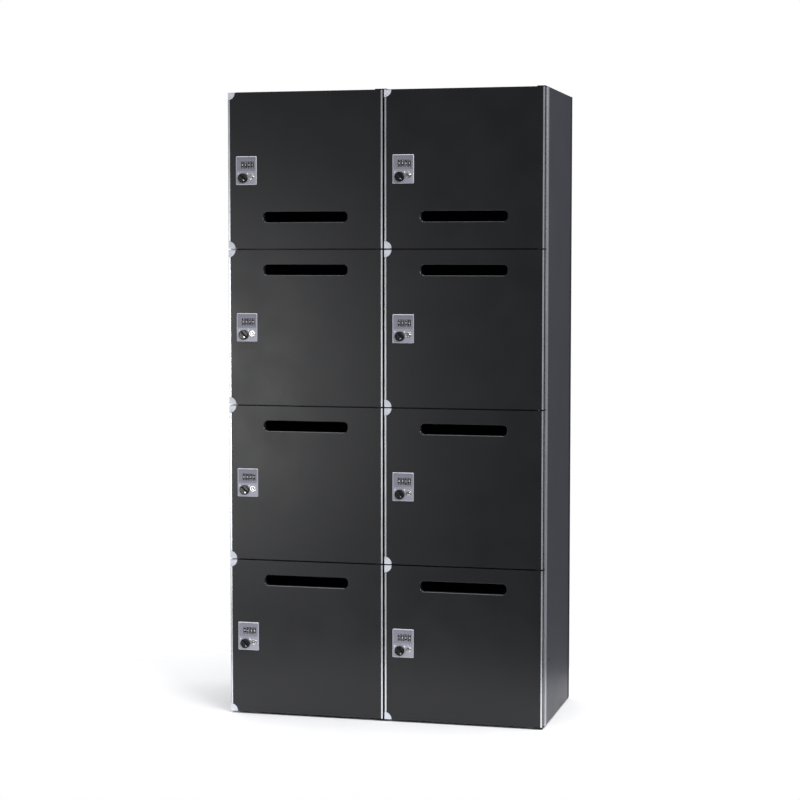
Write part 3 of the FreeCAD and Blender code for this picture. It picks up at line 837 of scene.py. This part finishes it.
class LOCKER_OT_trim(bpy.types.Operator):
    """Fits the doors' aluminium profiles and the cast corner pieces at their lock side"""

    bl_idname = "locker.trim"
    bl_label = "Profiles and corner pieces"

    RADIUS = 21 * MM
    RIM_EDGE = 0.45 * MM
    FIELD_SLOPE, FIELD_DEPTH = 0.4 * MM, 0.5 * MM
    RIVET_PLACE, RIVET_RADIUS, RIVET_EDGE = 8.2 * MM, 1.9 * MM, 0.3 * MM
    FACING = 0.98  # how squarely a profile's face looks forward to stay bright

    def execute(self, context):
        corners = dress(self.make_corners(f"door_{PATTERN}_edge_trim"), [corner_finish()])
        hand_out("door_{}_edge_trim", "{}_door",
                 {"door_{}_corner_pieces": (corners, "lock_metal")},
                 before=lambda node, body: finish_piece(self.make_profiles(node), body,
                                                        "edge_aluminium", node))
        return {"FINISHED"}

    def make_profiles(self, node):
        """The two upright profiles, without the corner pieces that share their CAD node."""
        low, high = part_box(node)
        reach = self.RADIUS - 0.5 * MM
        profiles = traced(node, f"{node}_profiles")

        def in_corner(face):
            place = face.calc_center_median()
            at_end = place.z < low.z + reach or place.z > high.z - reach
            return at_end and place.x < low.x + reach

        edit_faces(profiles, in_corner)
        bpy.ops.mesh.select_linked()
        bpy.ops.mesh.delete(type="FACE")
        bpy.ops.mesh.select_all(action="SELECT")
        bpy.ops.mesh.delete_loose()
        close_mesh()
        soften(profiles, cabinet().trim_edge, angle=40)
        # faces that don't look squarely forward (the profiles' sides, backs and rounded edges) are
        # painted near black: painted shade of the gaps between the doors
        return dress(profiles, [profile_finish(), profile_side_finish()],
                     lambda place, normal: int(normal.y > -self.FACING))

    def make_corners(self, node):
        """A quarter-round casting with a raised rim and a rivet, and its mirror at the foot."""
        low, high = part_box(node)
        pieces = []
        for name, corner, outward in (("head", high.z, 1), ("foot", low.z, -1)):
            piece = add_rod(f"corner_piece_{name}", DEEP, (low.x, low.y, corner),
                            high.y - low.y, self.RADIUS, sides=96)
            for normal in (LEFT, UP * outward):
                edit_faces(piece, lambda face: True)
                bpy.ops.mesh.bisect(plane_co=(low.x, low.y, corner), plane_no=normal,
                                    use_fill=True, clear_outer=True)
                close_mesh()
            round_rim(piece, FORWARD, self.RIM_EDGE)
            inset_faces(piece, FORWARD, cabinet().corner_rim)
            inset_faces(piece, FORWARD, self.FIELD_SLOPE, depth=-self.FIELD_DEPTH)
            slant = self.RIVET_PLACE
            rivet = add_rod("rivet", DEEP, (low.x + slant, low.y + 0.15 * MM,
                                            corner - slant * outward),
                            2 * MM, self.RIVET_RADIUS, sides=24)
            round_rim(rivet, FORWARD, self.RIVET_EDGE, segments=2)
            combine(piece, rivet, "UNION")
            pieces.append(soften(piece, 0))
        return join("corner_pieces", pieces)


class LOCKER_OT_buffers(bpy.types.Operator):
    """Sticks two soft buffers inside each door, at its lock side"""

    bl_idname = "locker.buffers"
    bl_label = "Door buffers"

    RADIUS, HEIGHT, DOME = 4 * MM, 5.5 * MM, 1.6 * MM
    FROM_EDGE, FROM_END = 6 * MM, 45 * MM

    def execute(self, context):
        low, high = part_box(f"door_{PATTERN}")
        pads = []
        for height in (low.z + self.FROM_END, high.z - self.FROM_END):
            start = (low.x + self.FROM_EDGE, high.y, height)
            pad = add_rod("buffer", DEEP, start, self.HEIGHT, self.RADIUS, sides=24)
            round_rim(pad, BACKWARD, self.DOME)
            pads.append(soften(pad, 0))
        pair = dress(join("door_buffers", pads), [buffer_rubber()])
        hand_out("door_{}", "{}_door", {"door_{}_buffers": (pair, "foot_plastic")},
                 replaced=False)
        return {"FINISHED"}


# ---------------------------------------------------------------- combination locks

DIAL_RADIUS = 15 * MM
DIAL_WIDTH = 8 * MM
DIAL_PITCH = 10 * MM
DIAL_PLACES = (-1.5, -0.5, 0.5, 1.5)
DIGITS = 10
DIGIT_TURN = 2 * math.pi / DIGITS
KEY_RADIUS = 6 * MM
BEZEL_RADIUS = 8.5 * MM
SPINDLE_RADIUS = 4 * MM
AXLE_RADIUS = 2 * MM
PLATE_PROUD = 4 * MM
PLAY = 0.15 * MM


class LOCKER_OT_lock_cases(bpy.types.Operator):
    """Casts the lock plates with their sunk fields, windows and marks, and the bodies behind"""

    bl_idname = "locker.lock_cases"
    bl_label = "Lock cases"

    # the sunk field, from the plate's edges and its head, and the groove below it
    MARGIN, FIELD_FOOT, FIELD_CORNER, FIELD_SLOPE = 3.4 * MM, 42.2 * MM, 1.6 * MM, 0.6 * MM
    GROOVE_DROP, GROOVE_HALF = 1.6 * MM, 0.5 * MM
    # a dial's window, half as wide and high, and the scoop round it
    WINDOW_HALF, WINDOW_REACH, SCOOP_REACH, SCOOP_DEPTH = 4.3 * MM, 10 * MM, 12 * MM, 2 * MM
    # the body behind, from the plate's left, right and ends
    BODY_LEFT, BODY_RIGHT, BODY_ENDS, BODY_CORNER = 11.3 * MM, 4 * MM, 6 * MM, 2 * MM
    COVER_RIM, COVER_SLOPE, COVER_DEPTH = 1.6 * MM, 0.3 * MM, 0.6 * MM
    # each mark's place to the right of the knob and above it, and its radius
    MARKS = ((13.8 * MM, 12.8 * MM, 2.4 * MM), (-14.2 * MM, 13.2 * MM, 1.9 * MM))

    def execute(self, context):
        self.low, self.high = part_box(f"lock_{PATTERN}_case")
        self.dials = lock_spot(PATTERN, "dial_spin")
        self.knob = lock_spot(PATTERN, "knob_turn")
        self.key = lock_spot(PATTERN, "key_turn")
        self.front = self.knob.y
        self.back = self.front + PLATE_PROUD
        self.step = self.high.z - self.FIELD_FOOT

        def finish_of(place, normal):
            # every face that doesn't look straight forward (the rim, the scoops, the walls of the
            # windows and bores) gets the lighter finish: a painted highlight
            if normal.y > -FLAT:
                return 2
            return int(place.z > self.step and place.y > self.front + 0.5 * MM)

        plate = dress(self.make_plate(), [plate_finish(), field_finish(), rim_finish()],
                      finish_of)
        body = dress(self.make_body(), [lock_body_finish()])
        bezel = dress(self.make_bezel(), [plug_finish()])
        marks = dress(self.make_marks(), [number_finish()])
        hand_out("lock_{}_case", "{}_door", {
            "lock_{}_plate": (plate, "lock_metal"),
            "lock_{}_body": (body, "lock_metal"),
            "lock_{}_bezel": (bezel, "key_chrome"),
            "lock_{}_marks": (marks, "dial_plastic"),
        })
        return {"FINISHED"}

    def make_plate(self):
        low, high, front = self.low, self.high, self.front
        settings = lock()
        plate = add_block("plate", (low.x, front, low.z), (high.x, self.back, high.z))
        round_along(plate, DEEP, settings.plate_corner, 5)
        round_rim(plate, FORWARD, settings.plate_rim)
        left, right = low.x + self.MARGIN, high.x - self.MARGIN
        field = add_block("field", (left, front - MM, self.step),
                          (right, front + settings.field_depth, high.z - self.MARGIN))
        round_along(field, DEEP, self.FIELD_CORNER, 4)
        edit_faces(field, faces(FORWARD))
        widen = 1 + 2 * self.FIELD_SLOPE / (high.x - low.x)
        bpy.ops.transform.resize(value=(widen, 1, widen))
        close_mesh()
        combine(plate, field)
        floor, half = self.step - self.GROOVE_DROP, self.GROOVE_HALF
        groove = add_block("groove", (left, front - MM, floor - half),
                           (right, front + half, floor + half))
        combine(plate, groove)
        self.cut_windows(plate)
        self.cut_bores(plate, self.front - MM, self.back + MM - self.front + MM)
        return soften(plate, 0.25 * MM)

    def cut_windows(self, plate):
        half, depth, reach = self.WINDOW_HALF, self.SCOOP_DEPTH, self.WINDOW_REACH
        radius = (self.SCOOP_REACH ** 2 + depth ** 2) / (2 * depth)
        for place in DIAL_PLACES:
            middle = self.dials.x + place * DIAL_PITCH
            start = (middle - half, self.front + depth - radius, self.dials.z)
            combine(plate, add_rod("scoop", ACROSS, start, half * 2, radius, sides=128))
            window = add_block("window", (middle - half, self.front - MM, self.dials.z - reach),
                               (middle + half, self.back + MM, self.dials.z + reach))
            combine(plate, window)

    def cut_bores(self, piece, start, length):
        """The holes for the knob's spindle and the key barrel."""
        for spot, radius in ((self.knob, SPINDLE_RADIUS), (self.key, KEY_RADIUS)):
            bore = add_rod("bore", DEEP, (spot.x, start, spot.z), length, radius + PLAY)
            combine(piece, bore)

    def make_body(self):
        """The body behind the plate, with its dial chamber, axle, bores and cover."""
        low, high, axis = self.low, self.high, self.dials
        body = add_block("body",
                         (low.x + self.BODY_LEFT, self.back, low.z + self.BODY_ENDS),
                         (high.x - self.BODY_RIGHT, high.y, high.z - self.BODY_ENDS))
        round_along(body, DEEP, self.BODY_CORNER, 4)
        inset_faces(body, BACKWARD, self.COVER_RIM)
        inset_faces(body, BACKWARD, self.COVER_SLOPE, depth=-self.COVER_DEPTH)
        reach = DIAL_RADIUS + 1 * MM
        side = 1.5 * DIAL_PITCH + DIAL_WIDTH / 2 + 0.6 * MM
        chamber = add_block("chamber", (axis.x - side, self.back - MM, axis.z - reach),
                            (axis.x + side, axis.y + reach, axis.z + reach))
        combine(body, chamber)
        self.cut_bores(body, self.back - MM, 60 * MM)
        axle = add_rod("axle", ACROSS, (axis.x - side - MM, axis.y, axis.z), 2 * (side + MM),
                       AXLE_RADIUS, sides=20)
        combine(body, axle, "UNION")
        return soften(body, 0.3 * MM)

    def make_bezel(self):
        """The turned ring round the key barrel: a flat rim that falls away outwards."""
        low, key = self.low, self.key
        ring = add_rod("bezel", DEEP, (key.x, low.y, key.z), self.front - low.y + 0.3 * MM,
                       BEZEL_RADIUS, sides=48)
        round_rim(ring, FORWARD, 1.0 * MM, 4)
        bore = add_rod("bore", DEEP, (key.x, low.y - MM, key.z), 6 * MM, KEY_RADIUS + PLAY, 48)
        combine(ring, bore)
        return soften(ring, 0.2 * MM)

    def make_marks(self):
        """Two printed dots that the knob's pointer turns between."""
        dots = []
        for across, above, radius in self.MARKS:
            start = (self.knob.x + across, self.front - 0.12 * MM, self.knob.z + above)
            dot = add_rod("mark", DEEP, start, 0.3 * MM, radius, sides=20)
            round_rim(dot, FORWARD, 0.08 * MM, 2)
            dots.append(soften(dot, 0))
        return join("marks", dots)


class LOCKER_OT_dials(bpy.types.Operator):
    """Makes the number wheels: ten flats with a printed number on each, four wheels to a lock"""

    bl_idname = "locker.dials"
    bl_label = "Number wheels"

    def execute(self, context):
        wheel, numbers = self.make_wheel()
        centre = lock_spot(PATTERN, "dial_spin")
        for index, door in enumerate(DOORS):
            body = f"{door}_dials"
            spot = lock_spot(door, "dial_spin")
            wheels, prints = [], []
            for number, place in enumerate(DIAL_PLACES):
                shift = spot - centre + Vector((place * DIAL_PITCH, 0, 0))
                turn = DIGIT_TURN * ((index * 3 + number * 7) % DIGITS)
                for first, copies in ((wheel, wheels), (numbers, prints)):
                    twin = copy_to(first, f"{first.name}_{number}", shift)
                    copies.append(turned(twin, spot, turn, "X"))
            rolling = dress(join(f"lock_{door}_number_wheels", wheels), [dial_finish()])
            finish_piece(rolling, body, "dial_plastic", f"lock_{door}_dials")
            printed = dress(join(f"lock_{door}_numbers", prints), [number_finish()])
            finish_piece(printed, body, "dial_plastic")
        for piece in (wheel, numbers):
            bpy.data.objects.remove(piece, do_unlink=True)
        return {"FINISHED"}

    def make_wheel(self):
        centre = lock_spot(PATTERN, "dial_spin")
        start = centre - Vector((DIAL_WIDTH / 2, 0, 0))
        wheel = add_rod("wheel", ACROSS, start, DIAL_WIDTH, DIAL_RADIUS, sides=DIGITS)
        edit_faces(wheel, lambda face: True)
        bpy.ops.transform.rotate(value=DIGIT_TURN / 2, orient_axis="X", center_override=centre)
        close_mesh()
        round_along(wheel, ACROSS, 0.9 * MM, 2)
        bevel_edges(wheel, lambda edge: borders(edge, LEFT) or borders(edge, RIGHT), 0.5 * MM, 2)
        bore = add_rod("bore", ACROSS, start - Vector((MM, 0, 0)), 12 * MM, AXLE_RADIUS + PLAY, 20)
        combine(wheel, bore)
        soften(wheel, 0, angle=25)
        flat = DIAL_RADIUS * math.cos(DIGIT_TURN / 2)
        prints = []
        for digit in range(DIGITS):
            angle = digit * DIGIT_TURN
            outward = Vector((0, -math.cos(angle), math.sin(angle)))
            upward = Vector((0, math.sin(angle), math.cos(angle)))
            spot = centre + outward * (flat - 0.05 * MM)
            facing = Matrix((RIGHT, upward, outward)).transposed().to_4x4()
            prints.append(self.make_number(str(digit), Matrix.Translation(spot) @ facing))
        return wheel, join("numbers", prints)

    def make_number(self, figure, place):
        deselect_all()
        bpy.ops.object.text_add(location=(0, 0, 0))
        text = bpy.context.object
        text.data.body = figure
        text.data.size = lock().number_height
        text.data.align_x = "CENTER"
        text.data.align_y = "CENTER"
        text.data.resolution_u = 2
        text.data.extrude = 0.07 * MM
        text.data.offset = 0.12 * MM
        bpy.ops.object.convert(target="MESH")
        number = bpy.context.object
        edit_faces(number, lambda face: True)
        bpy.ops.mesh.remove_doubles(threshold=0.005 * MM)
        bpy.ops.mesh.normals_make_consistent(inside=False)
        close_mesh()
        number.matrix_world = place
        pick(number)
        bpy.ops.object.transform_apply(location=True, rotation=True, scale=True)
        return number


class LOCKER_OT_knobs(bpy.types.Operator):
    """Makes the turning knobs with their pointers, and the spindles and cams behind them"""

    bl_idname = "locker.knobs"
    bl_label = "Knobs and cams"

    RADIUS, CAP_HEIGHT, CAP_EDGE = 14 * MM, 6 * MM, 1.3 * MM
    GRIP_HALF, GRIP_REACH, GRIP_EDGE = 3.5 * MM, 12.25 * MM, 0.9 * MM
    GRIP_TAPER = (0.72, 1, 0.9)
    POINTER_HALF, POINTER_START, POINTER_END = 1.4 * MM, 5.8 * MM, 10.8 * MM
    CAM_THICKNESS, CAM_HALF, CAM_CORNER = 2.5 * MM, 6 * MM, 3 * MM
    NUT_RADIUS, NUT_HEIGHT = 5 * MM, 3 * MM

    def execute(self, context):
        self.spot = lock_spot(PATTERN, "knob_turn")
        self.low, self.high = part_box(f"lock_{PATTERN}_knob")
        cap = dress(self.make_cap(), [knob_finish()])
        pointer = dress(self.make_pointer(), [plug_finish()])
        cam = dress(self.make_cam(), [plate_steel()])
        hand_out("lock_{}_knob", "{}_knob", {
            "lock_{}_knob_cap": (cap, "knob_plastic"),
            "lock_{}_knob_pointer": (pointer, "key_chrome"),
            "lock_{}_cam": (cam, "bracket_steel"),
        })
        return {"FINISHED"}

    def slanted(self, obj):
        """Turns an upright piece about the knob's axis, so that its head points up and left."""
        return turned(obj, self.spot, -math.pi / 4, "Y")

    def make_cap(self):
        spot, half, reach = self.spot, self.GRIP_HALF, self.GRIP_REACH
        back = spot.y - 0.3 * MM
        face = back - self.CAP_HEIGHT
        cap = add_rod("cap", DEEP, (spot.x, face, spot.z), self.CAP_HEIGHT, self.RADIUS, 56)
        round_rim(cap, FORWARD, self.CAP_EDGE, 4)
        inset_faces(cap, FORWARD, 1.1 * MM)
        inset_faces(cap, FORWARD, 0.8 * MM, depth=-0.7 * MM)
        grip = add_block("grip", (spot.x - half, self.low.y, spot.z - reach),
                         (spot.x + half, face + 2 * MM, spot.z + reach))
        edit_faces(grip, faces(FORWARD))
        bpy.ops.transform.resize(value=self.GRIP_TAPER)
        close_mesh()
        bevel_edges(grip, lambda edge: not borders(edge, BACKWARD), self.GRIP_EDGE)
        combine(cap, self.slanted(grip), "UNION")
        return soften(cap, 0.15 * MM)

    def make_pointer(self):
        """The bright inlay at the end of the grip that shows which way the knob stands."""
        spot, half, front = self.spot, self.POINTER_HALF, self.low.y
        pointer = add_block(
            "pointer", (spot.x - half, front - 0.1 * MM, spot.z - self.POINTER_END),
            (spot.x + half, front + 1.5 * MM, spot.z - self.POINTER_START))
        round_along(pointer, DEEP, 1.0 * MM, 4)
        round_rim(pointer, FORWARD, 0.3 * MM, 2)
        return soften(self.slanted(pointer), 0)

    def make_cam(self):
        """The spindle, the cam on its end with a rounded tip, and the nut that holds it."""
        spot, high, half = self.spot, self.high, self.CAM_HALF
        front = high.y - self.CAM_THICKNESS
        spindle = add_rod("spindle", DEEP, (spot.x, spot.y - MM, spot.z), front - spot.y + 2 * MM,
                          SPINDLE_RADIUS, sides=28)
        cam = add_rod("hub", DEEP, (spot.x, front, spot.z), self.CAM_THICKNESS, half)
        arm = add_block("arm", (spot.x - half, front, spot.z), (spot.x + half, high.y, high.z))
        bevel_edges(arm, lambda edge: runs_along(edge, DEEP) and middle_of(edge).z > spot.z + MM,
                    self.CAM_CORNER, 4)
        combine(cam, arm, "UNION")
        combine(cam, spindle, "UNION")
        nut = add_rod("nut", DEEP, (spot.x, high.y - 0.5 * MM, spot.z), self.NUT_HEIGHT,
                      self.NUT_RADIUS, sides=6)
        round_rim(nut, BACKWARD, 0.5 * MM, 2)
        combine(cam, nut, "UNION")
        return soften(cam, 0.25 * MM)


class LOCKER_OT_key_plugs(bpy.types.Operator):
    """Turns the key barrels, with a dished face and a broached keyway"""

    bl_idname = "locker.key_plugs"
    bl_label = "Key barrels"

    RIM, DISH_SLOPE, DISH_DEPTH = 1.7 * MM, 0.3 * MM, 0.4 * MM
    CROWN_STEP, CROWN_RISES = 0.7 * MM, (0.45 * MM, 0.3 * MM, 0.15 * MM)
    KEYWAY_HALF, KEYWAY_REACH, KEYWAY_DEPTH = 0.55 * MM, 2.8 * MM, 8 * MM

    def execute(self, context):
        low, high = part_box(f"lock_{PATTERN}_key_plug")
        spot = lock_spot(PATTERN, "key_turn")

        # faces more than 0.9 mm behind the front and inside the barrel (the keyway and the
        # barrel's back) are painted dark: painted shade in the keyway
        def finish_of(place, normal):
            off_axis = math.hypot(place.x - spot.x, place.z - spot.z)
            return int(place.y > low.y + 0.9 * MM and off_axis < KEY_RADIUS - 0.3 * MM)

        plug = dress(self.make_plug(low, high, spot), [plug_finish(), keyway_finish()], finish_of)
        hand_out("lock_{}_key_plug", "{}_key_plug",
                 {"lock_{}_key_barrel": (plug, "key_chrome")})
        return {"FINISHED"}

    def make_plug(self, low, high, spot):
        plug = add_rod("plug", DEEP, (spot.x, low.y, spot.z), high.y - low.y, KEY_RADIUS, 40)
        round_rim(plug, FORWARD, 0.5 * MM, 2)
        inset_faces(plug, FORWARD, self.RIM)
        inset_faces(plug, FORWARD, self.DISH_SLOPE, depth=-self.DISH_DEPTH)
        for rise in self.CROWN_RISES:
            inset_faces(plug, FORWARD, self.CROWN_STEP, depth=rise)
        half, reach = self.KEYWAY_HALF, self.KEYWAY_REACH
        keyway = add_block("keyway", (spot.x - half, low.y - MM, spot.z - reach),
                           (spot.x + half, low.y + self.KEYWAY_DEPTH, spot.z + reach))
        combine(plug, keyway)
        return soften(plug, 0.12 * MM, angle=30)


# ---------------------------------------------------------------- studio

class LOCKER_OT_studio(bpy.types.Operator):
    """Lays the floor, hangs the soft boxes and stands the camera"""

    bl_idname = "locker.studio"
    bl_label = "Studio"

    # where each soft box hangs, what it looks at, and its width and height in metres
    BOXES = {
        "front": ((3.1, -3.5, 3.6), (0, -0.2, 0.9), 2.0, 2.0),
        "sheen": ((-2.05, -4.0, 0.62), (0, -0.2, 0.9), 0.75, 1.1),
        "edge": ((-1.76, -4.0, 0.85), (0, -0.2, 0.9), 0.3, 1.5),
        "side": ((3.6, -1.5, 2.4), (0.4, -0.2, 1.5), 1.3, 1.2),
    }
    SUN_SPREAD = 60
    ROOM_STRENGTH = 0.15
    CAMERA_PLACE = (1.477, -5.8447, 1.3278)
    CAMERA_TILT, CAMERA_TURN = 86.04, 14.237
    FLOOR_PLACE = (-0.2, -0.05, -0.0004)

    def execute(self, context):
        settings = studio()
        self.lay_floor(settings.floor_radius)
        self.set_world(context.scene)
        self.hang_sun(settings.overhead_strength)
        for name, place in self.BOXES.items():
            self.hang_box(f"{name}_box", *place, getattr(settings, f"{name}_power"))
        self.stand_camera(context.scene, settings.focal_length)
        context.scene.view_settings.view_transform = "Standard"
        return {"FINISHED"}

    def lay_floor(self, radius):
        deselect_all()
        bpy.ops.mesh.primitive_circle_add(vertices=96, radius=radius, fill_type="NGON",
                                          location=self.FLOOR_PLACE)
        floor = settle("studio_floor")
        dress(floor, [floor_paint()])

    def set_world(self, scene):
        """White behind everything, and a dimmer room for the light that it gives."""
        world = bpy.data.worlds.new("studio_room")
        world.use_nodes = True
        scene.world = world
        tree = world.node_tree
        tree.nodes.clear()
        room = add_node(tree, "ShaderNodeBackground", {
            "Color": linear("#f4f6ff"), "Strength": self.ROOM_STRENGTH})
        backdrop = add_node(tree, "ShaderNodeBackground", {
            "Color": (1, 1, 1, 1), "Strength": 1.0})
        path = add_node(tree, "ShaderNodeLightPath")
        seen = add_node(tree, "ShaderNodeMixShader", {
            0: path.outputs["Is Camera Ray"], 1: room.outputs[0], 2: backdrop.outputs[0]})
        add_node(tree, "ShaderNodeOutputWorld", {"Surface": seen.outputs[0]})

    def hang_sun(self, strength):
        deselect_all()
        bpy.ops.object.light_add(type="SUN", location=(0, 0, 5))
        light = bpy.context.object
        light.name = "overhead_light"
        light.data.energy = strength
        light.data.angle = math.radians(self.SUN_SPREAD)

    def hang_box(self, name, place, target, wide, high, power):
        deselect_all()
        bpy.ops.object.light_add(type="AREA", location=place)
        light = bpy.context.object
        light.name = name
        light.data.shape = "RECTANGLE"
        light.data.size = wide
        light.data.size_y = high
        light.data.energy = power
        aim = Vector(target) - Vector(place)
        light.rotation_euler = aim.to_track_quat("-Z", "Y").to_euler()

    def stand_camera(self, scene, lens):
        deselect_all()
        turn = (math.radians(self.CAMERA_TILT), 0, math.radians(self.CAMERA_TURN))
        bpy.ops.object.camera_add(location=self.CAMERA_PLACE, rotation=turn)
        camera = bpy.context.object
        camera.name = "studio_camera"
        camera.data.lens = lens
        camera.data.sensor_width = 36
        camera.data.clip_end = 60
        scene.camera = camera


# ---------------------------------------------------------------- add-on

OPERATORS = (
    LOCKER_OT_boards,
    LOCKER_OT_posts,
    LOCKER_OT_back_screws,
    LOCKER_OT_feet,
    LOCKER_OT_brackets,
    LOCKER_OT_doors,
    LOCKER_OT_trim,
    LOCKER_OT_buffers,
    LOCKER_OT_lock_cases,
    LOCKER_OT_dials,
    LOCKER_OT_knobs,
    LOCKER_OT_key_plugs,
    LOCKER_OT_studio,
)
SETTINGS = {
    "locker_cabinet": CabinetSettings,
    "locker_lock": LockSettings,
    "locker_studio": StudioSettings,
}


class LOCKER_PT_panel(bpy.types.Panel):
    """Lists the settings and the pieces in the order in which they are built"""

    bl_idname = "LOCKER_PT_panel"
    bl_label = "Parcel locker"
    bl_space_type = "VIEW_3D"
    bl_region_type = "UI"
    bl_category = "Parcel locker"

    def draw(self, context):
        for name, group in SETTINGS.items():
            box = self.layout.box()
            settings = getattr(context.scene, name)
            for prop in group.__annotations__:
                box.prop(settings, prop)
        for operator in OPERATORS:
            self.layout.operator(operator.bl_idname)


CLASSES = tuple(SETTINGS.values()) + OPERATORS + (LOCKER_PT_panel,)


def register():
    for cls in CLASSES:
        bpy.utils.register_class(cls)
    for name, group in SETTINGS.items():
        setattr(bpy.types.Scene, name, bpy.props.PointerProperty(type=group))


def unregister():
    for name in SETTINGS:
        delattr(bpy.types.Scene, name)
    for cls in reversed(CLASSES):
        bpy.utils.unregister_class(cls)


def main():
    register()
    for operator in OPERATORS:
        getattr(bpy.ops.locker, operator.bl_idname.split(".")[1])()


if __name__ == "__main__":
    main()
